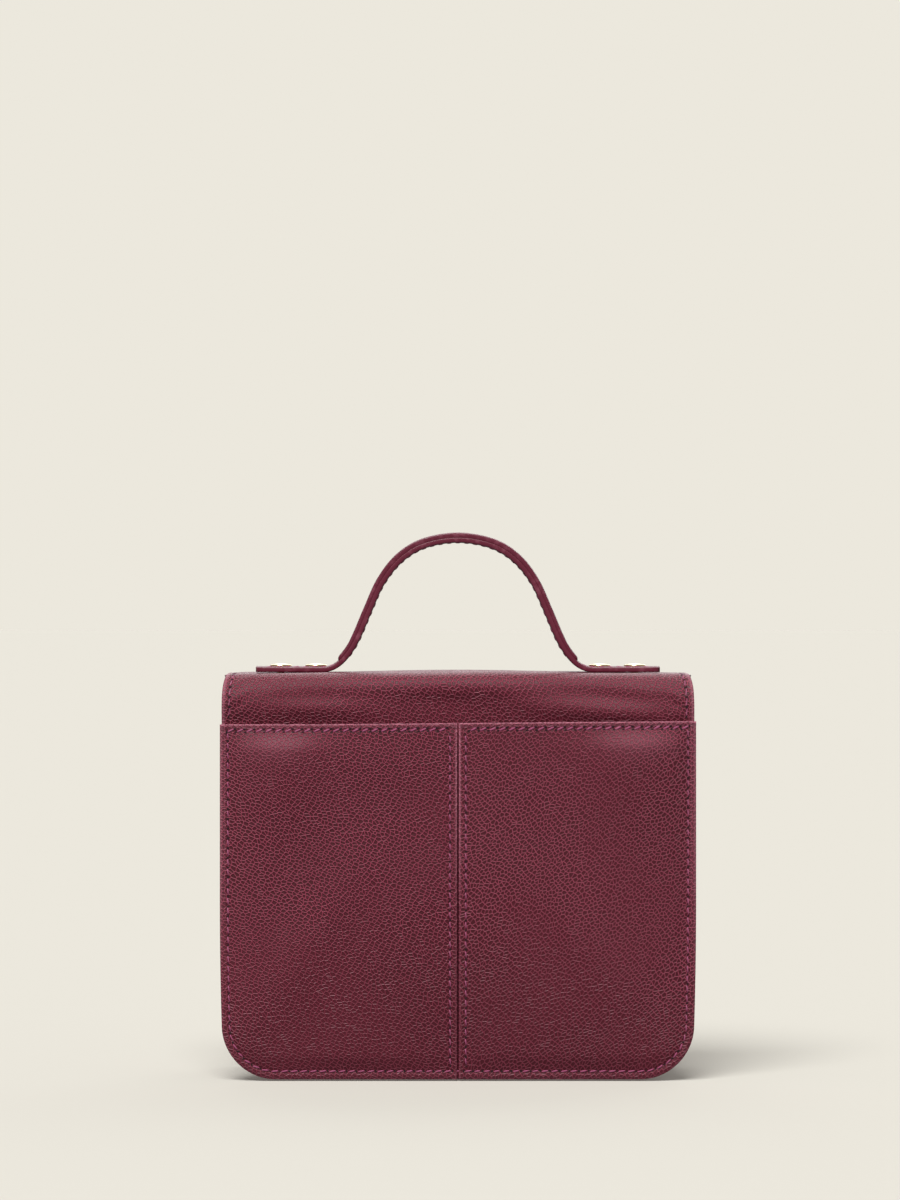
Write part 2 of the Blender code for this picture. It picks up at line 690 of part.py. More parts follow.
def build_slider(low_y, materials):
    """The zip's slider with its bridge pin, and the pull that swings on the pin, whose y is returned too."""
    gold = materials["gold"]
    half_z = ZIP_WINDOW - GAP
    x = SLIDER_START_X
    body_high = low_y + 2.4 * MM
    slider = plate("zip_slider", rectangle(SLIDER_HALF_LENGTH, half_z), low_y, body_high, gold, (x, ZIP_Z))
    pin_y = body_high + 1.4 * MM
    lug_low, lug_high = body_high - 0.5 * MM, pin_y + 1.0 * MM
    for lug_name, lug_x in (("slider_lug_left", x - 2.2 * MM), ("slider_lug_right", x + 2.2 * MM)):
        fuse(slider, plate(lug_name, rectangle(0.6 * MM, 1.2 * MM), lug_low, lug_high, gold, (lug_x, ZIP_Z)))
    pin_profile = [(pin_y + py, ZIP_Z + pz) for py, pz in circle(0.5 * MM, 10)]
    fuse(slider, swept_in_x("slider_pin", pin_profile, x - 2.1 * MM, x + 2.1 * MM, gold))
    pull_half = 1.2 * MM
    eye = arc((pin_y, ZIP_Z), 1.3 * MM, -25, 205, 10)
    tip = ZIP_Z - PULL_LENGTH
    profile = eye + [(pin_y - 0.5 * MM, ZIP_Z - 3 * MM), (pin_y - 0.5 * MM, tip), (pin_y + 0.5 * MM, tip)]
    profile += [(pin_y + 0.5 * MM, ZIP_Z - 3 * MM)]
    pull = swept_in_x("zip_pull", profile, x - pull_half, x + pull_half, gold)
    eye_profile = [(pin_y + py, ZIP_Z + pz) for py, pz in circle(0.8 * MM, 10)]
    eye_hole = as_cutter(swept_in_x("pull_eye", eye_profile, x - 4 * MM, x + 4 * MM, gold))
    cut(pull, eye_hole)
    return slider, pull, pin_y


def main():
    """Builds every piece, then hangs the moving ones on empties that lie on their joints' axes."""
    clear_scene()
    materials = make_materials()
    stem_cutter = build_panels(materials)
    build_gusset(materials)
    build_lining(materials)
    for side in (-1, 1):
        build_pocket(side, materials)
    flap_tops, flap_fronts = build_flap(materials)
    lock_plates, knob = build_lock(flap_fronts, stem_cutter, materials)
    strap, handle_fixed = build_handle(flap_tops, materials)
    slider, pull, pin_y = build_zip_pocket(materials)

    rear_fold = carry("rear_fold", (0, PANEL_OUTER_Y, REAR_HINGE_Z), flap_tops + handle_fixed)
    carry("front_fold", (0, FLAP_FACE_Y, FRONT_HINGE_Z), flap_fronts + lock_plates, rear_fold)
    carry("handle_fold", (0, 0, HANDLE_HINGE_Z), [strap], rear_fold)
    carry("knob_axis", (0, FRONT_Y + KNOB_BACK, LOCK_Z), [knob])
    slider_pin = carry("slider_axis", (SLIDER_START_X, pin_y, ZIP_Z), [slider])
    carry("pull_axis", (SLIDER_START_X, pin_y, ZIP_Z), [pull], slider_pin)


main()
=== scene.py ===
"""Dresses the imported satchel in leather, thread, plated metal and cloth, and sets it in a plain studio.

Every shape is a surface worked out with numpy from the frame's own boxes. Lengths are in metres.
"""

import sys
import logging
import math
from collections.abc import Callable, Sequence
from dataclasses import dataclass, field
from enum import Enum

import bmesh
import bpy
import numpy as np
from numpy.typing import NDArray
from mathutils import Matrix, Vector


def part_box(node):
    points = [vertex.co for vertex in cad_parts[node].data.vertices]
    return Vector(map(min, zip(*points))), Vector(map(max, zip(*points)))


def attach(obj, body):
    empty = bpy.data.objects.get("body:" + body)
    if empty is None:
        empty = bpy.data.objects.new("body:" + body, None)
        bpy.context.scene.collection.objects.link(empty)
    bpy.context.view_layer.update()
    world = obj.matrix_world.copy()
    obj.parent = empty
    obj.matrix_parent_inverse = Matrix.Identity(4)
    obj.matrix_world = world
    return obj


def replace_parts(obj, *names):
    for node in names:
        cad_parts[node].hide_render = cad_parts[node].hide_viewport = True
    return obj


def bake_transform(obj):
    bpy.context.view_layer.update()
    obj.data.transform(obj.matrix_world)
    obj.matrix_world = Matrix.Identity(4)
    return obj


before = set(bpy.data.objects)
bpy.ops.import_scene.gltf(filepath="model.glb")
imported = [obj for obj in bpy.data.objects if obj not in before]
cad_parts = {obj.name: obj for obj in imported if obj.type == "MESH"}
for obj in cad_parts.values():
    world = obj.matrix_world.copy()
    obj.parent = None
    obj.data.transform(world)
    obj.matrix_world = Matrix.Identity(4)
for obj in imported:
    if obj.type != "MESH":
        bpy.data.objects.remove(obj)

Array = NDArray[np.float64]
Colour = tuple[float, float, float]

MM = 0.001
LOG = logging.getLogger("satchel")
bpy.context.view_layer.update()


class Body(str, Enum):
    """The frame's bodies that pieces ride on."""

    BAG = "bag_body"
    FLAP_TOP = "flap_top"
    FLAP_FRONT = "flap_front"
    HANDLE = "handle"
    KNOB = "lock_knob"
    SLIDER = "zip_slider"
    PULL = "zip_pull"


class Slot(str, Enum):
    """The record's material slots."""

    LEATHER = "leather"
    LINING_LEATHER = "lining_leather"
    CLOTH = "lining_cloth"
    ZIP_TAPE = "zip_tape"
    BOARD = "board"
    GOLD = "gold"
    NICKEL = "nickel"


def middle_height(node: str) -> float:
    """The height of the middle of a node's box."""
    return float(sum(corner[2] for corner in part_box(node)) / 2)


# --- Small shape functions -------------------------------------------------------------------


def ease(share: Array | float) -> Array:
    """Goes from 0 to 1 as 3t^2 - 2t^3, and stays at the ends outside 0 to 1."""
    t = np.clip(share, 0.0, 1.0)
    return t * t * (3 - 2 * t)


def bell(distance: Array, width: float) -> Array:
    """A bump of height 1: exp(-(distance / width)^2)."""
    return np.exp(-((distance / width) ** 2))


def settle(points: Array) -> Array:
    """Draws the bag in towards its foot: x shrinks by 1.6% of (1 - z / 75 mm)^2, below 75 mm."""
    below = np.clip(1 - points[..., 2] / (75 * MM), 0, 1)
    return points * np.stack([1 - 0.016 * below**2, np.ones_like(below), np.ones_like(below)], axis=-1)


def joined(*parts: Array) -> Array:
    """The parts end to end, each without its last value but the final one."""
    return np.concatenate([part[:-1] for part in parts[:-1]] + [parts[-1]])


def toward_edges(count: int, pull: float) -> Array:
    """Values from -1 to 1, drawn to both ends: a mix of even steps and the sine of even steps.

    Args:
        count: How many values.
        pull: The sine's share, from 0 for even steps to 1.

    Returns:
        The values, in order.
    """
    even = np.linspace(-1, 1, count)
    return (1 - pull) * even + pull * np.sin(even * math.pi / 2)


def corner_edge(height: Array, half_width: float, radius: float) -> Array:
    """Half the width of an outline with round lower corners, at a height above its lowest line.

    Above the corner it is half_width. In the corner it is half_width - r + sqrt(r^2 - (r - height)^2).

    Args:
        height: Heights above the lowest line.
        half_width: Half the full width.
        radius: The corner's radius.

    Returns:
        Half widths, as many as heights.
    """
    below = np.clip(radius - height, 0.0, radius)
    return half_width - radius + np.sqrt(np.maximum(radius**2 - below**2, 0.0))


def corner_rows(radius: float, top: float, corner_steps: int, side_steps: int) -> Array:
    """Heights for rows of a sheet: by equal angles round the corner, then evenly to the top.

    Args:
        radius: The corner's radius.
        top: The last height.
        corner_steps: Rows in the corner.
        side_steps: Rows above it.

    Returns:
        Heights from 0 to top.
    """
    return joined(quarter(radius, corner_steps + 1), np.linspace(radius, top, side_steps + 1))


def unit(vectors: Array) -> Array:
    """The vectors at length 1."""
    return vectors / np.linalg.norm(vectors, axis=-1, keepdims=True)


def running_length(path: Array) -> Array:
    """The length along a polyline up to each of its points."""
    return np.concatenate([[0.0], np.cumsum(np.linalg.norm(np.diff(path, axis=0), axis=1))])


def inside_outline(x: Array, height: Array, half_width: float, radius: float) -> Array:
    """How far points lie inside an outline with round lower corners.

    It is min(half_width - |x|, height), and in a corner it is the radius less the distance to the
    corner's centre.

    Args:
        x: Across, from the middle.
        height: Heights above the lowest line.
        half_width: Half the full width.
        radius: The corners' radius.

    Returns:
        Distances, negative outside.
    """
    cx, cz = half_width - radius - np.abs(x), radius - height
    corner = radius - np.hypot(np.minimum(cx, 0), np.maximum(cz, 0))
    return np.where((cx < 0) & (cz > 0), corner, np.minimum(half_width - np.abs(x), height))


def spaced(path: Array, pitch: float) -> Array:
    """Points at an even pitch along a polyline, by interpolating over its running length.

    Args:
        path: The polyline's points, one a row.
        pitch: The wanted spacing, changed a little so that it fits the length.

    Returns:
        The points, the first and last half a pitch from the ends.
    """
    run = running_length(path)
    count = max(1, round(run[-1] / pitch))
    at = (np.arange(count) + 0.5) * run[-1] / count
    return np.stack([np.interp(at, run, path[:, k]) for k in range(path.shape[1])], axis=1)


# --- Meshes ----------------------------------------------------------------------------------


def open_slot(x: Array, z: Array, half_length: float, radius: float) -> tuple[Array, Array, Array]:
    """Moves the points in a stadium-shaped slot round the origin out to its outline.

    A point's distance to the outline is d = |(max(|x| - L + r, 0), z)| - r, and one with d < 0 moves
    to the nearest point of the outline.

    Args:
        x: Across.
        z: Up.
        half_length: Half the slot's length, L.
        radius: Half its height, r, which is also its ends' radius.

    Returns:
        (moved x, moved z, which points were in the slot).
    """
    past = np.sign(x) * np.maximum(np.abs(x) - half_length + radius, 0)
    reach = np.maximum(np.hypot(past, z), 1e-9)
    inside = reach < radius
    scale = np.where(inside, radius / reach, 1.0)
    return x + past * (scale - 1), z * scale, inside


def grid_faces(rows: int, cols: int, stride: int, wrap: bool) -> Array:
    """Quads of a grid: each joins point (i, j) with (i, j+1), (i+1, j+1) and (i+1, j).

    Args:
        rows: Rows of points.
        cols: Columns of points.
        stride: Indices from one row to the next.
        wrap: True joins the last column to the first.

    Returns:
        Indices, four a row.
    """
    last = cols if wrap else cols - 1
    i, j = np.meshgrid(np.arange(rows - 1), np.arange(last), indexing="ij")
    after = (j + 1) % cols if stride == cols else j + 1
    corners = [i * stride + j, i * stride + after, (i + 1) * stride + after, (i + 1) * stride + j]
    return np.stack(corners, axis=-1).reshape(-1, 4)


def copies(faces: Array, count: int, stride: int) -> Array:
    """A body's faces once for each of count equal bodies, whose points are stride apart."""
    return (faces[None] + (np.arange(count) * stride)[:, None, None]).reshape(-1, faces.shape[1])


def link_object(name: str, data: bpy.types.ID) -> bpy.types.Object:
    """Puts a mesh, lamp or camera into the scene as an object at the origin."""
    obj = bpy.data.objects.new(name, data)
    bpy.context.scene.collection.objects.link(obj)
    return obj


def sheet_mesh(
    name: str,
    points: Array,
    hide: Array,
    outward: Sequence[float],
    depth: Array | float = 1.0,
    lightening: Array | float = 0.0,
    gone: Array | None = None,
) -> bpy.types.Object:
    """A single-walled sheet from a grid, with its place on the flat hide as its UV map.

    Args:
        name: The piece's name.
        points: Places, (rows, cols, 3).
        hide: Places on the flat leather in metres, (rows, cols, 2).
        outward: The way that most of its faces point.
        depth: How deep the grain is, from 0 to 1, for each point.
        lightening: How far each point is lightened by painted highlight on edges and ridges, from 0 to 1.
        gone: True at points in a hole. A face between four of them is left out, or None for no hole.

    Returns:
        The object.
    """
    rows, cols = points.shape[:2]
    faces = grid_faces(rows, cols, cols, False)
    if gone is not None:
        faces = faces[~gone.ravel()[faces].all(axis=1)]
    used, faces = np.unique(faces, return_inverse=True)
    faces = faces.reshape(-1, 4)
    points, hide = points.reshape(-1, 3)[used], hide.reshape(-1, 2)[used]
    first = points[faces]
    normal = np.cross(first[:, 2] - first[:, 0], first[:, 3] - first[:, 1]).sum(axis=0)
    if normal @ np.asarray(outward) < 0:
        faces = faces[:, ::-1]
    mesh = bpy.data.meshes.new(name)
    mesh.from_pydata(points.tolist(), [], faces.tolist())
    layer = mesh.uv_layers.new(name="hide")
    layer.data.foreach_set("uv", hide[faces.ravel()].astype(np.float32).ravel())
    # The second attribute is the painted highlight along edges and ridges.
    for key, value in (("grain_depth", depth), ("edge_highlight", lightening)):
        attribute = mesh.attributes.new(key, "FLOAT", "POINT")
        spread = np.broadcast_to(value, (rows, cols)).astype(np.float32)
        attribute.data.foreach_set("value", spread.ravel()[used])
    mesh.shade_smooth()
    return link_object(name, mesh)


def closed_mesh(name: str, rings: Array, hide: Array | None = None) -> bpy.types.Object:
    """A closed body from rings of points, wrapped round and closed over the first and last ring.

    Args:
        name: The piece's name.
        rings: Places, (rings, points a ring, 3).
        hide: UV places, (rings, points a ring + 1, 2), or None for none.

    Returns:
        The object, welded and facing out.
    """
    rows, cols = rings.shape[:2]
    faces = grid_faces(rows, cols, cols, True)
    mesh = bpy.data.meshes.new(name)
    caps = [list(range(cols))[::-1], list(range((rows - 1) * cols, rows * cols))]
    mesh.from_pydata(rings.reshape(-1, 3).tolist(), [], faces.tolist() + caps)
    if hide is not None:
        corners = grid_faces(rows, cols + 1, cols + 1, False)
        flat = hide.reshape(-1, 2)
        ends = [flat[:cols][::-1], flat[(rows - 1) * (cols + 1) :][:cols]]
        values = np.concatenate([flat[corners.ravel()], *ends])
        layer = mesh.uv_layers.new(name="hide")
        layer.data.foreach_set("uv", values.astype(np.float32).ravel())
        grain = mesh.attributes.new("grain_depth", "FLOAT", "POINT")
        grain.data.foreach_set("value", np.full(rows * cols, 0.6, np.float32))
    return weld(link_object(name, mesh))


def welded_mesh(name: str, points: Array, faces: list[list[int]]) -> bpy.types.Object:
    """An object from points in an array of any shape and their faces, welded and facing out."""
    mesh = bpy.data.meshes.new(name)
    mesh.from_pydata(points.reshape(-1, 3).tolist(), [], faces)
    return weld(link_object(name, mesh))


def modify(obj: bpy.types.Object, name: str, kind: str, **settings: object) -> None:
    """Adds a modifier with these settings."""
    modifier = obj.modifiers.new(name, kind)
    for key, value in settings.items():
        setattr(modifier, key, value)


def weld(obj: bpy.types.Object) -> bpy.types.Object:
    """Merges points closer than a hundredth of a millimetre, and turns the faces out."""
    bm = bmesh.new()
    bm.from_mesh(obj.data)
    bmesh.ops.remove_doubles(bm, verts=bm.verts, dist=0.01 * MM)
    bmesh.ops.recalc_face_normals(bm, faces=bm.faces)
    bm.to_mesh(obj.data)
    bm.free()
    obj.data.shade_smooth()
    obj.data.set_sharp_from_angle(angle=math.radians(50))
    return obj


def thicken(obj: bpy.types.Object, thickness: float, edge_round: float = 0.35 * MM) -> bpy.types.Object:
    """Gives a sheet its leather's thickness behind its outer face, with softly rounded cut edges.

    Args:
        obj: The sheet. Its second material is for the cut edge and its third for the back.
        thickness: The leather's thickness.
        edge_round: The rounding of its cut edges.

    Returns:
        The same object.
    """
    walls = {"thickness": thickness, "offset": -1, "use_even_offset": True}
    modify(obj, "leather_thickness", "SOLIDIFY", material_offset_rim=1, material_offset=2, **walls)
    sharp = {"limit_method": "ANGLE", "angle_limit": math.radians(55), "use_clamp_overlap": True}
    modify(obj, "rounded_edge", "BEVEL", width=edge_round, segments=3, **sharp)
    return obj


def dress(obj: bpy.types.Object, slot: Slot, *materials: bpy.types.Material) -> bpy.types.Object:
    """Gives a piece its materials."""
    obj.data.materials.clear()
    for material in materials:
        obj.data.materials.append(material)
    return obj


def report(obj: bpy.types.Object) -> None:
    """Logs a piece's name and how many faces it has before its modifiers."""
    LOG.info("%s: %d faces", obj.name, len(obj.data.polygons))


# --- Finishes --------------------------------------------------------------------------------


class NodeBoard:
    """Builds one material's node tree in a few words a node."""

    def __init__(self, name: str) -> None:
        """Makes a material with an empty Principled surface."""
        self.material = bpy.data.materials.new(name)
        self.material.use_nodes = True
        self.tree = self.material.node_tree
        self.shader = self.tree.nodes["Principled BSDF"]

    def add(self, kind: str, sockets: dict | None = None, **settings: object) -> bpy.types.Node:
        """Adds a node.

        Args:
            kind: The node's type, without its ShaderNode prefix.
            sockets: Input name or number to a value, or to an output socket that is linked to it.
            **settings: The node's own properties.

        Returns:
            The node.
        """
        node = self.tree.nodes.new("ShaderNode" + kind)
        for key, value in settings.items():
            setattr(node, key, value)
        for key, value in (sockets or {}).items():
            self.put(node.inputs[key], value)
        return node

    def put(self, socket: bpy.types.NodeSocket, value: object) -> None:
        """Links an output to a socket, or sets the socket's value, a colour with full opacity."""
        if isinstance(value, bpy.types.NodeSocket):
            self.tree.links.new(value, socket)
        else:
            socket.default_value = (*value, 1.0) if socket.type == "RGBA" else value

    @property
    def own_place(self) -> bpy.types.NodeSocket:
        """The point's place in the object's own coordinates."""
        return self.add("TexCoord").outputs["Object"]

    @property
    def hide_place(self) -> bpy.types.NodeSocket:
        """The point's place on the flat hide, from the piece's UV map."""
        return self.add("UVMap", uv_map="hide").outputs["UV"]

    def surface(self, **values: object) -> None:
        """Sets the Principled shader's inputs, with an underscore for each space in a name."""
        for key, value in values.items():
            self.put(self.shader.inputs[key.replace("_", " ")], value)

    def math(self, operation: str, *values: object) -> bpy.types.NodeSocket:
        """One Math node's output."""
        return self.add("Math", dict(enumerate(values)), operation=operation).outputs[0]

    def spread(self, value: object, *ends: float) -> bpy.types.NodeSocket:
        """Maps the first two ends smoothly onto the last two."""
        sockets = dict(zip(("Value", "From Min", "From Max", "To Min", "To Max"), (value, *ends)))
        return self.add("MapRange", sockets, interpolation_type="SMOOTHSTEP").outputs["Result"]

    def blend(self, share: object, first: object, second: object) -> bpy.types.NodeSocket:
        """Mixes two colours."""
        node = self.add("Mix", data_type="RGBA")
        for key, value in ((0, share), (6, first), (7, second)):
            self.put(node.inputs[key], value)
        return node.outputs[2]

    def noise(self, vector: object, scale: float, detail: float = 2.0) -> bpy.types.NodeSocket:
        """A noise texture's grey output."""
        sockets = {"Vector": vector, "Scale": scale, "Detail": detail}
        return self.add("TexNoise", sockets).outputs["Fac"]

    def bump(
        self, height: object, distance: float, strength: float, under: object | None = None
    ) -> bpy.types.NodeSocket:
        """A bump's normal. under is another bump's normal that it lies on."""
        sockets = {"Height": height, "Distance": distance, "Strength": strength}
        if under is not None:
            sockets["Normal"] = under
        return self.add("Bump", sockets).outputs["Normal"]


@dataclass(frozen=True)
class Finish:
    """A named procedural material. Each kind of finish paints its own nodes."""

    name: str

    def build(self) -> bpy.types.Material:
        """Makes the material."""
        board = NodeBoard(self.name)
        self.paint(board)
        return board.material

    def paint(self, board: NodeBoard) -> None:
        """Adds the finish's nodes to the board."""
        raise NotImplementedError


@dataclass(frozen=True)
class GrainedLeather(Finish):
    """Pebbled leather: dark cells between fine raised veins, laid out on the hide's UV map. The veins'
    lighter colour is a painted highlight, and the cells' darker colour is the leather's dark red deepened
    with painted shade in the pits.
    """

    crest_highlight: Colour
    cell_colour_and_shade: Colour
    flush: Colour
    # The colour of the painted highlight along edges and ridges.
    highlight_colour: Colour = (0.56, 0.19, 0.26)
    cell: float = 1.95 * MM
    stretch: float = 1.45
    turn: float = -1.06
    drift: float = 3.5 * MM
    vein_width: float = 0.2
    relief: float = 0.34 * MM
    contrast: float = 1.35
    lightest_patch: float = 0.3
    wrinkle: float = 0.35 * MM
    rough: tuple[float, float] = (0.36, 0.52)

    def edges(self, board: NodeBoard, place: object, cell: float, randomness: float) -> bpy.types.NodeSocket:
        """Distances to the nearest edge of flat random cells."""
        sockets = {"Vector": place, "Scale": 1.0 / cell, "Randomness": randomness}
        settings = {"feature": "DISTANCE_TO_EDGE", "voronoi_dimensions": "2D"}
        return board.add("TexVoronoi", sockets, **settings).outputs["Distance"]

    def laid_out(self, board: NodeBoard, place: object) -> bpy.types.NodeSocket:
        """The hide's coordinates, drifted a little by noise, turned, and squeezed along the cells."""
        noise = board.add("TexNoise", {"Vector": place, "Scale": 30.0, "Detail": 1.0}).outputs["Color"]
        centred = board.add("VectorMath", {0: noise, 1: (0.5, 0.5, 0.5)}, operation="SUBTRACT").outputs[0]
        drift = board.add("VectorMath", {0: centred, "Scale": self.drift}, operation="SCALE").outputs[0]
        drifted = board.add("VectorMath", {0: place, 1: drift}, operation="ADD").outputs[0]
        rotated = board.add("Mapping", {"Vector": drifted, "Rotation": (0, 0, self.turn)}).outputs[0]
        return board.add("Mapping", {"Vector": rotated, "Scale": (self.stretch, 1.0, 1.0)}).outputs[0]

    def paint(self, board: NodeBoard) -> None:
        """How near a point is to a cell's edge drives its colour, gloss and height."""
        place = board.hide_place
        along = self.laid_out(board, place)
        cells = self.edges(board, along, self.cell, 0.8)
        pores = board.spread(self.edges(board, along, self.cell / 2.1, 1.0), 0.0, 0.3, 0.0, 1.0)
        vein = board.spread(cells, 0.0, self.vein_width, 1.0, 0.0)
        depth = board.add("Attribute", attribute_name="grain_depth").outputs["Fac"]
        grain = board.math("MULTIPLY_ADD", vein, 0.9, board.math("MULTIPLY", pores, 0.12))
        height = board.math("MULTIPLY_ADD", board.noise(along, 2600.0, 3.0), 0.16, grain)
        # Veins lighten as much as the grain is deep: a painted highlight on the raised veins, over cells
        # darkened with painted shade. Wide patches drift towards the flush colour.
        centred = board.math("MULTIPLY", board.math("SUBTRACT", grain, 0.3), self.contrast)
        share = board.math("ADD", board.math("MULTIPLY", depth, centred), 0.085)
        share.node.use_clamp = True
        worn = board.noise(place, 16.0, 2.0)
        patch = board.spread(worn, 0.4, 0.68, 0.0, self.lightest_patch)
        toned = board.blend(patch, board.blend(share, self.cell_colour_and_shade, self.crest_highlight), self.flush)
        # A point attribute mixes in the painted highlight colour along edges and ridges.
        lightening = board.add("Attribute", attribute_name="edge_highlight").outputs["Fac"]
        uneven = board.math("ADD", grain, board.math("MULTIPLY", worn, 0.4))
        soft = board.bump(board.noise(place, 130.0, 3.0), self.wrinkle, 0.35)
        raised = board.bump(board.math("MULTIPLY", height, depth), self.relief, 1.0, soft)
        gloss = board.spread(uneven, 0.2, 1.4, self.rough[1], self.rough[0])
        board.surface(Base_Color=board.blend(lightening, toned, self.highlight_colour), Roughness=gloss, Normal=raised)
        board.surface(Specular_IOR_Level=0.4)


@dataclass(frozen=True)
class EdgePaint(Finish):
    """The painted cut edge of the leather: smooth, a little glossier, worn lighter in places."""

    colour: Colour
    worn: Colour

    def paint(self, board: NodeBoard) -> None:
        """Noise on the piece's own coordinates drives wear, gloss and ripples."""
        place = board.own_place
        lightening = board.spread(board.noise(place, 300.0, 4.0), 0.5, 0.72, 0.0, 0.6)
        board.surface(Base_Color=board.blend(lightening, self.colour, self.worn))
        board.surface(Roughness=board.spread(lightening, 0.0, 0.6, 0.34, 0.52))
        board.surface(Normal=board.bump(board.noise(place, 900.0, 3.0), 0.12 * MM, 0.5))


@dataclass(frozen=True)
class SmoothLining(Finish):
    """Split leather on the inner side: fine nap, no cells."""

    light: Colour
    dark: Colour

    def paint(self, board: NodeBoard) -> None:
        """Two noises give the nap's colour and its height."""
        place = board.own_place
        cloud = board.noise(place, 60.0, 4.0)
        nap = board.noise(place, 2400.0, 3.0)
        board.surface(Base_Color=board.blend(board.math("MULTIPLY", cloud, nap), self.dark, self.light))
        board.surface(Roughness=board.spread(nap, 0.3, 0.7, 0.62, 0.85))
        board.surface(Sheen_Weight=0.35, Sheen_Roughness=0.5, Normal=board.bump(nap, 0.1 * MM, 0.6))


@dataclass(frozen=True)
class WovenCloth(Finish):
    """A woven cloth: a diagonal twill of fine yarns."""

    yarn: Colour
    gap: Colour
    pitch: float = 0.55 * MM
    slant: float = 0.7

    def paint(self, board: NodeBoard) -> None:
        """Two crossed waves make the yarns' colour and height."""
        place = board.own_place
        rotation = (self.slant, self.slant, 0.0)
        rotated = board.add("Mapping", {"Vector": place, "Rotation": rotation}).outputs[0]
        waves = []
        for direction in ("X", "Z"):
            sockets = {"Vector": rotated, "Scale": 0.314 / self.pitch, "Distortion": 0.6, "Detail": 2.0}
            waves.append(board.add("TexWave", sockets, bands_direction=direction).outputs["Fac"])
        weave = board.math("MULTIPLY", waves[0], waves[1])
        fleck = board.noise(place, 1800.0, 2.0)
        share = board.math("ADD", board.math("MULTIPLY", weave, 0.8), board.math("MULTIPLY", fleck, 0.25))
        board.surface(Base_Color=board.blend(share, self.gap, self.yarn))
        board.surface(Roughness=board.spread(weave, 0.0, 1.0, 0.9, 0.72), Sheen_Weight=0.3)
        board.surface(Normal=board.bump(weave, 0.14 * MM, 0.7))


@dataclass(frozen=True)
class TwistedThread(Finish):
    """Waxed sewing thread: plies wound along each stitch, read from the stitch's own UV map."""

    light: Colour
    dark: Colour

    def paint(self, board: NodeBoard) -> None:
        """A slanted wave over the stitch's UV map makes its plies."""
        place = board.hide_place
        slanted = board.add("Mapping", {"Vector": place, "Rotation": (0, 0, 0.8)}).outputs[0]
        ply = board.add("TexWave", {"Vector": slanted, "Scale": 0.5, "Distortion": 0.3}).outputs["Fac"]
        board.surface(Base_Color=board.blend(ply, self.dark, self.light))
        board.surface(Roughness=board.spread(ply, 0.0, 1.0, 0.6, 0.42))
        board.surface(Normal=board.bump(ply, 0.08 * MM, 0.6))


@dataclass(frozen=True)
class PlatedMetal(Finish):
    """Plated metal: a clean plate with faint cloudiness and hairline scratches."""

    colour: Colour
    tarnish: Colour
    rough: tuple[float, float] = (0.14, 0.3)

    def paint(self, board: NodeBoard) -> None:
        """Cloudy noise tints and dulls it, and stretched noise scratches it."""
        place = board.own_place
        cloud = board.noise(place, 180.0, 3.0)
        lines = board.add("Mapping", {"Vector": place, "Scale": (1.0, 1.0, 14.0)}).outputs[0]
        scratch = board.noise(lines, 700.0, 4.0)
        clouded = board.spread(cloud, 0.5, 0.8, 0.0, 0.5)
        board.surface(Base_Color=board.blend(clouded, self.colour, self.tarnish))
        mixed = board.math("ADD", board.math("MULTIPLY", cloud, 0.6), board.math("MULTIPLY", scratch, 0.4))
        board.surface(Metallic=1.0, Roughness=board.spread(mixed, 0.35, 0.65, self.rough[0], self.rough[1]))
        board.surface(Normal=board.bump(scratch, 0.02 * MM, 0.25))


@dataclass(frozen=True)
class PlainMatter(Finish):
    """A dull plain stuff, such as board, or the near-black painted shade of a needle hole, mottled a little.
    """

    colour: Colour
    mottle: Colour
    roughness: float = 0.85

    def paint(self, board: NodeBoard) -> None:
        """Noise mottles its colour and lifts its fibres."""
        place = board.own_place
        speck = board.noise(place, 1200.0, 4.0)
        board.surface(Base_Color=board.blend(speck, self.colour, self.mottle))
        board.surface(Roughness=self.roughness, Normal=board.bump(speck, 0.08 * MM, 0.5))


class Finishes:
    """Every material of the bag, made once."""

    def __init__(self) -> None:
        """Builds each finish."""
        # The lighter vein colour is a painted highlight on the grain's raised veins; the darker cell colour
        # is the leather's dark red, deepened with painted shade in the pits.
        body = {"crest_highlight": (0.4, 0.066, 0.112), "cell_colour_and_shade": (0.068, 0.001, 0.008), "flush": (0.145, 0.011, 0.026)}
        strap = {"crest_highlight": (0.2, 0.026, 0.052), "cell_colour_and_shade": (0.09, 0.006, 0.016), "flush": (0.15, 0.015, 0.03)}
        fine = {"cell": 1.3 * MM, "relief": 0.14 * MM, "rough": (0.34, 0.5)}
        self.leather = GrainedLeather("burgundy_leather", **body).build()
        self.strap = GrainedLeather("burgundy_strap", **strap, **fine).build()
        self.edge = EdgePaint("painted_edge", (0.13, 0.012, 0.03), (0.22, 0.04, 0.07)).build()
        self.suede = SmoothLining("lining_split", (0.13, 0.03, 0.045), (0.05, 0.008, 0.014)).build()
        self.cloth = WovenCloth("lining_twill", (0.2, 0.06, 0.07), (0.07, 0.016, 0.02)).build()
        weave = {"pitch": 0.4 * MM, "slant": 0.0}
        self.tape = WovenCloth("zip_tape_weave", (0.085, 0.014, 0.024), (0.03, 0.005, 0.01), **weave).build()
        self.thread = TwistedThread("burgundy_thread", (0.5, 0.12, 0.24), (0.22, 0.03, 0.09)).build()
        self.gold = PlatedMetal("pale_gold_plate", (0.89, 0.7, 0.42), (0.72, 0.52, 0.3)).build()
        self.nickel = PlatedMetal("nickel_plate", (0.62, 0.6, 0.57), (0.45, 0.43, 0.4), (0.24, 0.42)).build()
        self.board = PlainMatter("fibre_board", (0.3, 0.24, 0.17), (0.42, 0.36, 0.28)).build()
        # Near-black needle holes: painted shade where the thread passes through the leather.
        self.hole = PlainMatter("needle_hole_shade", (0.012, 0.002, 0.004), (0.02, 0.003, 0.006), 0.95).build()

    @property
    def hide(self) -> tuple[bpy.types.Material, ...]:
        """Grain outside, paint on the cut edge, split leather behind."""
        return (self.leather, self.edge, self.suede)


# --- Leather surfaces ------------------------------------------------------------------------

PlaceOnHide = Callable[[Array, Array], Array]


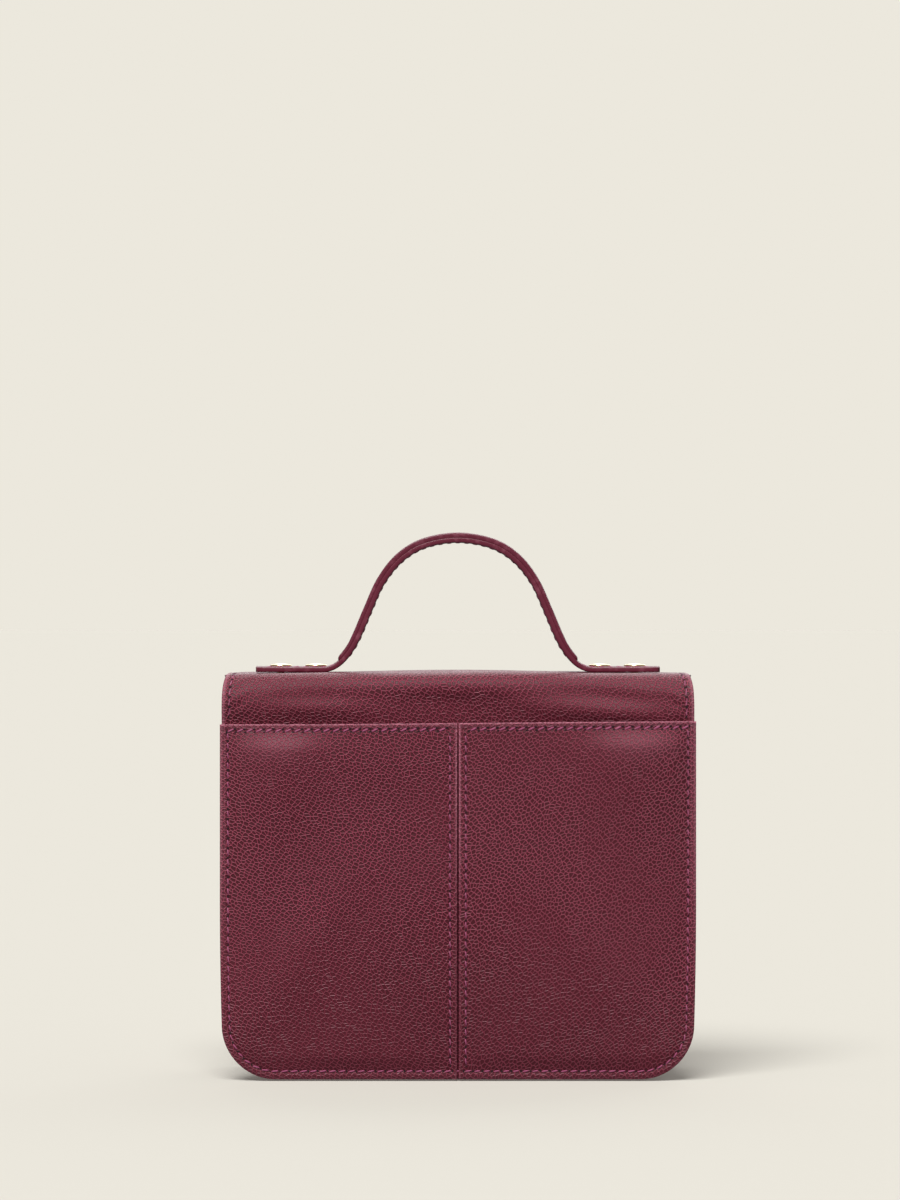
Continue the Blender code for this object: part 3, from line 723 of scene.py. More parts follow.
def surface_frame(place: PlaceOnHide, a: Array, b: Array) -> tuple[Array, Array, Array]:
    """A surface's point and its two tangents, from differences over a twentieth of a millimetre.

    Args:
        place: The surface, as a function of its two hide coordinates.
        a: First coordinates.
        b: Second coordinates.

    Returns:
        (points, tangents along a, tangents along b), the tangents of length 1.
    """
    step = 0.05 * MM
    along_a = place(a + step, b) - place(a - step, b)
    along_b = place(a, b + step) - place(a, b - step)
    return place(a, b), unit(along_a), unit(along_b)


@dataclass(frozen=True)
class Seats:
    """Places on the leather, each with unit vectors along its row, across it and off the leather."""

    at: Array
    along: Array
    across: Array
    up: Array


@dataclass
class Stitching:
    """A row of stitches along a line on a leather surface, with a needle hole at each end of each.

    A stitch is a thread of radius r(t) = radius * sqrt(1 - taper * t^4), for t from -1 to 1 along it,
    whose middle line lies at rise * (1 - t^2) - dip * t^4 off the leather. A hole is a flat double cone
    in a near-black colour: painted shade in the needle hole.
    """

    finishes: Finishes
    pitch: float = 4.1 * MM
    share: float = 0.74
    radius: float = 0.3 * MM
    rise: float = 0.16 * MM
    dip: float = 0.12 * MM
    taper: float = 0.94
    slant: float = 0.16
    hole: float = 0.58 * MM
    hole_depth: float = 0.2 * MM
    hole_top: float = 0.07 * MM
    rings: int = 7
    sides: int = 6
    hole_sides: int = 8

    def sew(self, name: str, place: PlaceOnHide, line: Array, flip: bool = False) -> list[bpy.types.Object]:
        """Makes the thread and the holes of one row.

        Args:
            name: What the row is called.
            place: The surface that it lies on.
            line: The row's line in hide coordinates, one point a row.
            flip: True where the surface's tangents turn its normal inwards.

        Returns:
            The thread's object and the holes' object.
        """
        centres = spaced(line, self.pitch)
        ahead = unit(np.gradient(centres, axis=0))
        points, along_a, along_b = surface_frame(place, centres[:, 0], centres[:, 1])
        up = unit(np.cross(along_a, along_b)) * (-1 if flip else 1)
        forward = unit(along_a * ahead[:, :1] + along_b * ahead[:, 1:])
        cosine, sine = math.cos(self.slant), math.sin(self.slant)
        along = forward * cosine + np.cross(up, forward) * sine
        across = np.cross(up, along)
        thread = self.thread_mesh(name + "_thread", Seats(points, along, across, up))
        beside = ahead[:, ::-1] * ((1, -1) if flip else (-1, 1))
        reach = (ahead * cosine + beside * sine) * self.pitch / 2
        ends = np.concatenate([centres - reach, centres + reach])
        axes = [np.concatenate([axis, axis]) for axis in (along, across, up)]
        return [thread, self.hole_mesh(name + "_shaded_holes", Seats(place(ends[:, 0], ends[:, 1]), *axes))]

    def thread_mesh(self, name: str, seats: Seats) -> bpy.types.Object:
        """All threads as one mesh: a ring of points for each t round each seat."""
        t = np.linspace(-1, 1, self.rings)[:, None]
        turn = np.arange(self.sides) * 2 * math.pi / self.sides
        radius = self.radius * np.sqrt(1 - self.taper * t**4)
        ahead = t * self.pitch * self.share / 2 + 0 * turn
        lift = self.rise * (1 - t**2) - self.dip * t**4 + radius * np.sin(turn)
        points = seats.at[:, None, None]
        sizes = (ahead, radius * np.cos(turn), lift)
        for size, axis in zip(sizes, (seats.along, seats.across, seats.up)):
            points = points + size[None, :, :, None] * axis[:, None, None, :]
        count, per = len(seats.at), self.rings * self.sides
        ring = np.arange(self.sides)[None]
        faces = [grid_faces(self.rings, self.sides, self.sides, True), ring[:, ::-1], ring + per - self.sides]
        mesh = bpy.data.meshes.new(name)
        corners = [corner for part in faces for corner in copies(part, count, per).tolist()]
        mesh.from_pydata(points.reshape(-1, 3).tolist(), [], corners)
        flat = np.stack([t * 3 + 0 * turn, turn / math.pi + 0 * t], axis=-1).reshape(-1, 2)
        index = np.zeros(len(mesh.loops), np.int32)
        mesh.loops.foreach_get("vertex_index", index)
        layer = mesh.uv_layers.new(name="hide")
        layer.data.foreach_set("uv", flat[index % per].astype(np.float32).ravel())
        return dress(weld(link_object(name, mesh)), Slot.LEATHER, self.finishes.thread)

    def hole_mesh(self, name: str, seats: Seats) -> bpy.types.Object:
        """All needle holes as one mesh of flat near-black double cones, painted shade in the holes, a little
        longer along the row.
        """
        sides = self.hole_sides
        turn = (np.arange(sides) * 2 * math.pi / sides)[:, None, None]
        rim = (np.cos(turn) * seats.along + np.sin(turn) * seats.across * 0.85) * self.hole
        tips = [(seats.at + seats.up * off)[:, None] for off in (self.hole_top, -self.hole_depth)]
        points = np.concatenate([np.moveaxis(seats.at + rim, 0, 1), *tips], axis=1)
        k = np.arange(sides)
        after = (k + 1) % sides
        upper = np.stack([k, after, np.full(sides, sides)], axis=1)
        lower = np.stack([after, k, np.full(sides, sides + 1)], axis=1)
        faces = copies(np.concatenate([upper, lower]), len(seats.at), sides + 2)
        return dress(welded_mesh(name, points, faces.tolist()), Slot.LEATHER, self.finishes.hole)


@dataclass(frozen=True)
class Ridge:
    """A soft ridge, or a valley where its height is negative, in millimetres.

    It runs along u = at - lean * (v - pivot). Its lift is height * bell(distance from that line,
    thick) * bell(v - middle, reach).
    """

    height: float
    at: float
    thick: float
    middle: float
    reach: float
    lean: float = 0.0
    pivot: float = 0.0

    def lift(self, u: Array, v: Array) -> Array:
        """How far it lifts each point, in metres."""
        off = u - self.at * MM + (v - self.pivot * MM) * self.lean
        return self.height * MM * bell(off, self.thick * MM) * bell(v - self.middle * MM, self.reach * MM)


def sewn_border(
    inside: Array, margin: float, groove: Array | float, width: float, welt: float = 0.0
) -> Array:
    """How a stitched border lowers the leather: a groove at its stitches, and its edge by welt.

    It is -groove * bell(inside - margin, width) - welt * (1 - ease(inside / 1.2 mm)).

    Args:
        inside: Distances inside the outline.
        margin: The stitches' distance from the outline.
        groove: The groove's depth.
        width: Its width.
        welt: How far the very edge is lowered.

    Returns:
        Heights, zero or less.
    """
    return -groove * bell(inside - margin, width) + welt * (ease(inside / (1.2 * MM)) - 1)


def follow(pieces: Sequence[bpy.types.Object], body: Body) -> None:
    """Makes pieces ride on a body, and reports them."""
    for piece in pieces:
        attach(piece, body.value)
        report(piece)


def bend(pieces: Sequence[bpy.types.Object], a: Body, b: Body, start: Array, end: Array) -> None:
    """Bakes each piece's transform into its mesh, and reports it."""
    for piece in pieces:
        tuple(start)
        tuple(end)
        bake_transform(piece)
        report(piece)


CORNER_POINTS = 25


def u_line(half_width: float, radius: float, top: float, inset: float) -> Array:
    """A line down one side, round both lower corners and up the other side, moved in by inset.

    Args:
        half_width: Half the outline's width.
        radius: The outline's corner radius.
        top: Where the line starts and ends.
        inset: How far it lies inside the outline.

    Returns:
        Points (x, z) from the left top to the right top.
    """
    turn = np.linspace(math.pi, 1.5 * math.pi, CORNER_POINTS)
    cx, r = half_width - radius, radius - inset
    corner = np.stack([-cx + r * np.cos(turn), radius + r * np.sin(turn)], axis=1)
    left = np.concatenate([[[inset - half_width, top]], corner])
    return np.concatenate([left, left[::-1] * (-1, 1)])


@dataclass
class SlipPocket:
    """The rear slip pocket: two halves joined by a centre seam, sewn round three sides, open above."""

    finishes: Finishes
    leather: float = 1.55 * MM
    margin: float = 3.4 * MM
    mouth_margin: float = 2.6 * MM
    seam_margin: float = 3.1 * MM
    seam_half: float = 0.2 * MM
    corner: float = 22 * MM
    bulge: float = 4.6 * MM
    border: float = 5.5 * MM
    columns: int = 100
    grain_turn: float = 1.88
    ridges_up: tuple[Ridge, ...] = (
        Ridge(1.0, -66, 13, 52, 34, -0.55, 50),
        Ridge(0.9, 62, 13, 48, 32, 0.6, 45),
    )
    ridge_under_mouth: Ridge = Ridge(0.7, -16, 12, -30, 22)
    half_width: float = field(init=False)
    top: float = field(init=False)
    edge_y: float = field(init=False)

    def __post_init__(self) -> None:
        """Reads the pocket's width, mouth and sewn edge from the frame."""
        self.half_width, _, self.top = (float(value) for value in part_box("slip_pocket_right")[1])
        self.edge_y = float(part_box("rear_panel")[0][1]) - self.leather - 0.3 * MM

    def edge_distance(self, x: Array, z: Array) -> Array:
        """How far a point is inside the sewn outline."""
        return inside_outline(x, z, self.half_width, self.corner)

    def relief(self, x: Array, z: Array) -> Array:
        """How far the leather stands off its sewn plane.

        It is the pocket's own slack, a shallow pillow in each half, soft bulges under the mouth, and
        grooves pulled in by each stitch row, with a pucker at each stitch.

        Args:
            x: Across the pocket.
            z: Up it.

        Returns:
            Heights off the sewn plane.
        """
        inside = self.edge_distance(x, z)
        across = np.clip(1 - (np.abs(x) / (self.half_width - self.border)) ** 2, 0, 1)
        up = np.clip((z - self.border) / (90 * MM), 0, 1)
        slack = self.bulge * across**0.8 * np.sin(up * math.pi / 2)
        half = np.clip(np.abs(x) / self.half_width, 0, 1)
        pillow = 1.1 * MM * ease(inside / (11 * MM)) * np.sin(np.clip(half, 0, 1) * math.pi) ** 0.6
        under = self.top - z
        swell = ease((under - 1.5 * MM) / (10 * MM)) * bell(np.maximum(under - 11 * MM, 0), 34 * MM)
        puff = 3.0 * MM * swell * (bell(x + 74 * MM, 19 * MM) + bell(x - 76 * MM, 22 * MM))
        puff += self.ridge_under_mouth.lift(-under, x) + sum(ridge.lift(x, z) for ridge in self.ridges_up)
        ripple = 0.12 * MM * np.sin(x * 95 + 1.3) * np.sin(z * 74 + x * 40)
        border = sewn_border(inside, self.margin, 0.34 * MM, 0.75 * MM, 0.32 * MM)
        run = np.where(z > self.corner, z, x)
        pucker = -0.1 * MM * bell(inside - self.margin, 1.6 * MM) * np.cos(run * 2 * math.pi / (4 * MM))
        seam = np.abs(x) - self.seam_half
        fold = 0.6 * MM * np.sqrt(np.clip(seam / (0.5 * MM), 0, 1)) - 0.6 * MM
        fold += 0.2 * MM * bell(seam - 0.9 * MM, 0.5 * MM)
        fold -= 0.3 * MM * bell(seam - self.seam_margin, 0.7 * MM)
        mouth = 0.18 * MM * bell(under - 1.0 * MM, 0.8 * MM)
        mouth -= 0.24 * MM * bell(under - self.mouth_margin, 0.7 * MM)
        free = ease(inside / (9 * MM))
        return slack + (pillow + puff + ripple) * free + border + pucker + fold + mouth

    def place(self, x: Array, z: Array) -> Array:
        """A point of the pocket's outer face. Its relief is taken at the outline past the edge."""
        lift = self.relief(x, z)
        mouth_sag = 0.7 * MM * np.sin(np.clip(x / self.half_width, -1, 1) * 1.3) * ease(z / self.top) ** 6
        return settle(np.stack([x, self.edge_y - lift, z + mouth_sag], axis=-1))

    def half(self, side: int) -> bpy.types.Object:
        """One half's leather: rows at heights, each from the seam to the outline at that height.

        Args:
            side: -1 for the left half, 1 for the right.

        Returns:
            The object.
        """
        near_mouth = self.top - 6 * MM
        z = joined(corner_rows(self.corner, near_mouth, 26, 130), np.linspace(near_mouth, self.top, 18))
        edge = corner_edge(z, self.half_width, self.corner)
        share = (toward_edges(self.columns, 0.55) + 1) / 2
        x = side * (self.seam_half + (edge[:, None] - self.seam_half) * share)
        height = np.broadcast_to(z[:, None], x.shape)
        depth = 0.42 + 0.58 * ease((height - 22 * MM) / (66 * MM) + 0.4 * (np.abs(x) / self.half_width) ** 2)
        inside, seam = self.edge_distance(x, height), np.abs(x) - self.seam_half
        # Painted highlight: lighter bands on the sewn border, stronger higher up where the light falls, a
        # bright line along the mouth's edge, patches on the bulges under the mouth and thin lines on the
        # centre seam's ridges.
        lightening = 0.42 * bell(inside - 0.6 * MM, 0.4 * MM) + 0.18 * bell(inside - 2.0 * MM, 0.4 * MM)
        lightening *= 0.2 + 0.8 * ease((height - 30 * MM) / (80 * MM))
        lightening += 0.95 * bell(self.top - height, 0.42 * MM) + 0.2 * bell(self.top - height - 1.5 * MM, 0.6 * MM)
        puffs = bell(x + 76 * MM, 14 * MM) + bell(x - 76 * MM, 16 * MM)
        lightening += 0.12 * puffs * bell(height - self.top + 9 * MM, 6 * MM)
        lightening += (0.2 + 0.7 * ease((height - 60 * MM) / (70 * MM))) * bell(seam - 0.55 * MM, 0.3 * MM)
        name = "rear_pocket_left" if side < 0 else "rear_pocket_right"
        lean = 0.0 if side < 0 else self.grain_turn
        cosine, sine = math.cos(lean), math.sin(lean)
        hide = np.stack([x * cosine - height * sine, x * sine + height * cosine], axis=-1)
        obj = sheet_mesh(name, self.place(x, height), hide, (0, -1, 0), depth, np.clip(lightening, 0, 0.95))
        thicken(obj, self.leather)
        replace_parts(obj, "slip_pocket_left" if side < 0 else "slip_pocket_right")
        return dress(obj, Slot.LEATHER, *self.finishes.hide)

    def seams(self) -> list[bpy.types.Object]:
        """The rows round the edge, below the mouth and beside the centre seam."""
        sewing = Stitching(self.finishes)
        border = u_line(self.half_width, self.corner, self.top - 3 * MM, self.margin)
        pieces = sewing.sew("pocket_border", self.place, border)
        mouth_z = self.top - self.mouth_margin
        bold = Stitching(self.finishes, radius=0.37 * MM, share=0.8, slant=0.42, hole=0.68 * MM)
        for side, word in ((-1, "left"), (1, "right")):
            reach = side * np.array([4.5 * MM, self.half_width - 2.5 * MM])
            level = np.stack([reach, np.full(2, mouth_z)], axis=1)
            pieces += bold.sew(f"pocket_mouth_{word}", self.place, level)
            x = side * (self.seam_half + self.seam_margin)
            upright = np.array([[x, self.margin + 2 * MM], [x, mouth_z - 2 * MM]])
            pieces += sewing.sew(f"centre_seam_{word}", self.place, upright)
        return pieces

    def build(self) -> None:
        """Makes both halves and their stitching."""
        follow([self.half(-1), self.half(1)] + self.seams(), Body.BAG)


@dataclass
class Wrap:
    """The leather that runs up the rear, over the top and down the front as the flap.

    Its cross-section is a line up the rear, a quarter circle, a line across the top, a quarter
    circle and a line down the front. s is the length along that, and x is across.
    """

    finishes: Finishes
    rear_radius: float = 9 * MM
    front_radius: float = 8 * MM
    rear_corner: float = 22 * MM
    flap_corner: float = 24 * MM
    leather: float = 1.5 * MM
    lining: float = 0.9 * MM
    margin: float = 3.2 * MM
    slot: tuple[float, float] = (9.3 * MM, 4 * MM)
    folds: tuple[Ridge, ...] = (
        Ridge(1.0, -2, 4.6, 58, 38, 0.1, 12),
        Ridge(-1.25, 5, 4.2, 62, 34, 0.13, 20),
        Ridge(-1.0, 3, 4.4, -66, 30, -0.1, -20),
        Ridge(0.8, -6, 4.0, -70, 26, 0.06, -40),
    )
    half_width: float = field(init=False)
    lock_z: float = field(init=False)
    front_height: float = field(init=False)
    run: Array = field(init=False)
    line: Array = field(init=False)
    turn: Array = field(init=False)
    marks: tuple[float, float, float, float, float] = field(init=False)

    def __post_init__(self) -> None:
        """Reads the flap's places from the frame and lays out its cross-section."""
        rear, top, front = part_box("rear_panel"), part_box("flap_top"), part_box("flap_front")
        self.half_width = float(top[1][0])
        rear_y, front_y = float(rear[0][1]), float(front[1][1])
        top_z, low_z = float(top[1][2]), float(front[0][2])
        rear_fold, front_fold = top_z - self.rear_radius, top_z - self.front_radius
        top_length = (front_y - self.front_radius) - (rear_y + self.rear_radius)
        lengths = [rear_fold, self.rear_radius * math.pi / 2, top_length, self.front_radius * math.pi / 2]
        lengths.append(front_fold - low_z)
        self.marks = tuple(np.cumsum(lengths))
        self.front_height = front_fold
        self.lock_z = middle_height("lock_plate")
        self.run = np.linspace(0, self.marks[4], 1600)
        known = [0.0, self.marks[0], self.marks[1], self.marks[2], self.marks[3], self.marks[4]]
        turns = [0.0, 0.0, math.pi / 2, math.pi / 2, math.pi, math.pi]
        self.turn = np.interp(self.run, known, turns)
        middle = (self.turn[1:] + self.turn[:-1]) / 2
        step = np.diff(self.run)
        y = np.concatenate([[0.0], np.cumsum(np.sin(middle) * step)]) + rear_y
        z = np.concatenate([[0.0], np.cumsum(np.cos(middle) * step)])
        self.line = np.stack([y, z], axis=1)

    @property
    def middle(self) -> float:
        """The length at which the two halves of the leather meet, in the middle of the top."""
        return (self.marks[1] + self.marks[2]) / 2

    def relief(self, x: Array, s: Array) -> Array:
        """How far the leather stands off its plain cross-section.

        It has a crown across the top that falls off at the ends, slack folds that run from the handle's
        feet to the upper corners, and a groove with puckers at the stitches along its edges.

        Args:
            x: Across the bag.
            s: Along the cross-section.

        Returns:
            Heights along the outer normal.
        """
        roll = s - self.marks[0]
        end = np.clip(np.abs(x) / self.half_width, 0, 1)
        over = bell(s - self.middle, 36 * MM)
        crown = -0.7 * MM * end**8 * over + 1.2 * MM * bell(x, 46 * MM) * bell(s - self.middle, 30 * MM)
        centre = bell(x, 52 * MM)
        sag = 1.9 * MM * bell(roll + 4.5 * MM, 6.5 * MM) * (1 - centre)
        sag += 2.2 * MM * bell(roll - 5 * MM, 5 * MM) * centre
        folds = sum(fold.lift(roll, x) for fold in self.folds)
        folds += 0.3 * MM * np.sin(x * 62 + 0.6) * bell(roll - 2 * MM, 13 * MM)
        near_side = bell(np.abs(x) - self.half_width + 7 * MM, 4 * MM)
        gather = 0.22 * MM * np.sin(roll * 900 + np.abs(x) * 500) * near_side * bell(roll + 1 * MM, 10 * MM)
        front = s - self.marks[3]
        from_lock = np.hypot(x / 1.3, front - self.front_height + self.lock_z)
        pressed = ease((from_lock - 13 * MM) / (26 * MM))
        puff = 1.2 * MM * ease(front / (22 * MM)) * (1 - end**4) * pressed
        puff *= ease((self.marks[4] - s) / (26 * MM))
        inside = self.edge_distance(x, s)
        sewn = ease((roll + 12 * MM) / (3 * MM))
        border = sewn_border(inside, self.margin, 0.26 * MM * sewn, 0.8 * MM, 0.25 * MM)
        wave = 0.1 * MM * np.sin(x * 88) * np.sin(s * 71 + 1)
        return crown + sag + folds + gather + puff + border + wave * ease(inside / (8 * MM))

    def edge_distance(self, x: Array, s: Array) -> Array:
        """How far a point is inside the flap's outline, with its round lower corners."""
        return inside_outline(x, self.marks[4] - s, self.half_width, self.flap_corner)

    def outer(self, x: Array, s: Array) -> Array:
        """A point of the outer face: the cross-section's point, moved out by the relief."""
        return self.at_depth(x, s, 0.0)

    def at_depth(self, x: Array, s: Array, depth: float) -> Array:
        """A point at a depth under the outer face, along the cross-section's normal.

        The flap's ends draw in a little over the rear roll.

        Args:
            x: Across the bag.
            s: Along the cross-section.
            depth: How far under the outer face.

        Returns:
            Points, (..., 3).
        """
        y, z = np.interp(s, self.run, self.line[:, 0]), np.interp(s, self.run, self.line[:, 1])
        turn = np.interp(s, self.run, self.turn)
        out = self.relief(x, s) - depth
        drawn = 1 - 0.017 * bell(s - self.marks[1], 9 * MM)
        points = np.stack([x * drawn, y - np.cos(turn) * out, z + np.sin(turn) * out], axis=-1)
        on_rear = (turn < math.pi / 2)[..., None]
        return np.where(on_rear, settle(points), points)

    def rows(self, rear: bool) -> tuple[Array, Array]:
        """Lengths for the rows of one half, and half the width at each.

        Args:
            rear: True for the rear half, from the bottom of the bag to the middle of the top.

        Returns:
            (lengths, half widths).
        """
        if rear:
            low = corner_rows(self.rear_corner, self.marks[0] - 14 * MM, 16, 30)
            roll = np.linspace(self.marks[0] - 14 * MM, self.marks[1] + 3 * MM, 56)
            s = joined(low, roll, self.top_rows(True))
            return s, corner_edge(s, self.half_width, self.rear_corner)
        low = self.marks[4] - corner_rows(self.flap_corner, self.marks[4] - self.marks[3], 22, 80)[::-1]
        s = joined(self.top_rows(False), np.linspace(self.marks[2] - 3 * MM, self.marks[3], 30), low)
        return s, corner_edge(self.marks[4] - s, self.half_width, self.flap_corner)

    def top_rows(self, rear: bool) -> Array:
        """Even lengths across one half of the top."""
        if rear:
            return np.linspace(self.marks[1] + 3 * MM, self.middle, 16)
        return np.linspace(self.middle, self.marks[2] - 3 * MM, 16)

    def layer(self, name: str, rear: bool, depth: float, thickness: float, inset: float) -> bpy.types.Object:
        """One half of the leather or of its lining.

        Args:
            name: The object's name.
            rear: True for the rear half.
            depth: How far its outer face lies under the flap's.
            thickness: Its thickness.
            inset: How far its edge lies inside the outline.

        Returns:
            The object, not yet dressed.
        """
        s, edge = self.rows(rear)
        x = (edge[:, None] - inset) * toward_edges(150, 0.5)
        along = np.broadcast_to(s[:, None], x.shape)
        gone = None
        if not rear:
            middle = self.marks[3] + self.front_height - self.lock_z
            x, off, gone = open_slot(x, along - middle, *self.slot)
            along = off + middle
        grain = 0.55 + 0.45 * bell(along - self.marks[0], 26 * MM)
        outward = (0, -1, 0.2) if rear else (0, 1, 0.2)
        hide = np.stack([x + 0.37, along], axis=-1)
        inside = self.edge_distance(x, along)
        # Painted highlight along the leather's sewn border, on the roll, the top and the flap; it fades out
        # on the rear below the roll.
        lightening = 0.45 * bell(inside - 0.7 * MM, 0.6 * MM) * ease((along - self.marks[0] + 30 * MM) / (20 * MM))
        points = self.at_depth(x, along, depth)
        return thicken(sheet_mesh(name, points, hide, outward, grain, lightening, gone), thickness)

    def fold_line(self, rear: bool) -> tuple[Body, Body, Array, Array]:
        """The two bodies that meet at a fold, and where the bend starts and ends."""
        if rear:
            y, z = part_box("rear_panel")[0][1], self.line[np.searchsorted(self.run, self.marks[0]), 1]
            return Body.BAG, Body.FLAP_TOP, np.array([0, y, z - 5 * MM]), np.array([0, y, z + 6 * MM])
        y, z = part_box("flap_front")[1][1], self.line[np.searchsorted(self.run, self.marks[3]), 1]
        return Body.FLAP_TOP, Body.FLAP_FRONT, np.array([0, y, z + 6 * MM]), np.array([0, y, z - 5 * MM])

    def build(self) -> None:
        """Makes the leather in two halves, the lining of each, and the stitching along the edges."""
        sewing = Stitching(self.finishes)
        under = self.leather + 0.15 * MM
        split = (self.finishes.suede, self.finishes.edge, self.finishes.suede)
        rear = self.layer("rear_and_top_leather", True, 0.0, self.leather, 0.0)
        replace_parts(rear, "rear_panel", "flap_top")
        dress(rear, Slot.LEATHER, *self.finishes.hide)
        front = self.layer("flap_leather", False, 0.0, self.leather, 0.0)
        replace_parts(front, "flap_front")
        dress(front, Slot.LEATHER, *self.finishes.hide)
        front_lining = self.layer("flap_lining_lower", False, under, self.lining, 0.4 * MM)
        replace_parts(front_lining, "flap_front_lining")
        dress(front_lining, Slot.LINING_LEATHER, *split)
        rear_lining = self.roll_lining(under)
        dress(rear_lining, Slot.LINING_LEATHER, *split)
        edge = self.half_width - self.margin
        rear_rows, front_rows = [rear, rear_lining], [front, front_lining]
        for side, word in ((-1, "left"), (1, "right")):
            line = np.array([[side * edge, self.marks[0] - 9 * MM], [side * edge, self.middle]])
            rear_rows += sewing.sew(f"flap_edge_{word}", self.outer, line, flip=True)
        drop = u_line(self.half_width, self.flap_corner, self.marks[4] - self.middle, self.margin)
        hem = np.stack([drop[:, 0], self.marks[4] - drop[:, 1]], axis=1)
        front_rows += sewing.sew("flap_border", self.outer, hem, flip=True)
        bend(rear_rows, *self.fold_line(True))
        bend(front_rows, *self.fold_line(False))

    def roll_lining(self, under: float) -> bpy.types.Object:
        """The lining of the rear half, which starts above the gusset's top.

        Args:
            under: Its depth under the leather's outer face.

        Returns:
            The object.
        """
        s = joined(np.linspace(self.marks[0] - 3 * MM, self.marks[1] + 3 * MM, 40), self.top_rows(True))
        x = (self.half_width - 0.4 * MM) * toward_edges(110, 0.5)
        x, along = np.meshgrid(x, s)
        hide = np.stack([x, along], axis=-1)
        obj = sheet_mesh("flap_lining_upper", self.at_depth(x, along, under), hide, (0, -1, 0.2), 0.3)
        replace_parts(obj, "flap_top_lining")
        return thicken(obj, self.lining)


# --- Front, sides and inside -----------------------------------------------------------------


@dataclass
class FrontPanel:
    """The front panel under the flap, sewn to the gusset round three sides."""

    finishes: Finishes
    corner: float = 22 * MM
    leather: float = 1.4 * MM
    margin: float = 3.3 * MM
    lock_clear: float = 15 * MM
    half_width: float = field(init=False)
    top: float = field(init=False)
    face_y: float = field(init=False)
    lock_z: float = field(init=False)

    def __post_init__(self) -> None:
        """Reads the panel's box and the lock's centre from the frame."""
        self.half_width, self.face_y, self.top = (float(value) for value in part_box("front_panel")[1])
        self.lock_z = middle_height("lock_base")

    def place(self, x: Array, z: Array) -> Array:
        """A point of the outer face.

        It pillows by up to 0.9 mm inside its border, is pressed flat round the lock, and is drawn in
        by 0.3 mm at its stitches.

        Args:
            x: Across the panel.
            z: Up it.

        Returns:
            Points, (..., 3).
        """
        inside = inside_outline(x, z, self.half_width, self.corner)
        free = ease((np.hypot(x, z - self.lock_z) - self.lock_clear) / (22 * MM))
        pillow = 0.9 * MM * ease(inside / (14 * MM)) * free
        wave = 0.12 * MM * np.sin(x * 90 + 0.4) * np.sin(z * 75 + 2) * free * ease(inside / (8 * MM))
        border = sewn_border(inside, self.margin, 0.28 * MM, 0.75 * MM)
        return settle(np.stack([x, self.face_y + pillow + wave + border, z], axis=-1))

    def build(self) -> None:
        """Makes the leather and its border stitching."""
        z = corner_rows(self.corner, self.top, 22, 80)
        x = corner_edge(z, self.half_width, self.corner)[:, None] * toward_edges(140, 0.5)
        height = np.broadcast_to(z[:, None], x.shape)
        hide = np.stack([x + 0.81, height], axis=-1)
        panel = sheet_mesh("front_leather", self.place(x, height), hide, (0, 1, 0), 0.75)
        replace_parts(thicken(panel, self.leather), "front_panel")
        dress(panel, Slot.LEATHER, *self.finishes.hide)
        line = u_line(self.half_width, self.corner, self.top - 4 * MM, self.margin)
        follow([panel] + Stitching(self.finishes).sew("front_border", self.place, line, flip=True), Body.BAG)


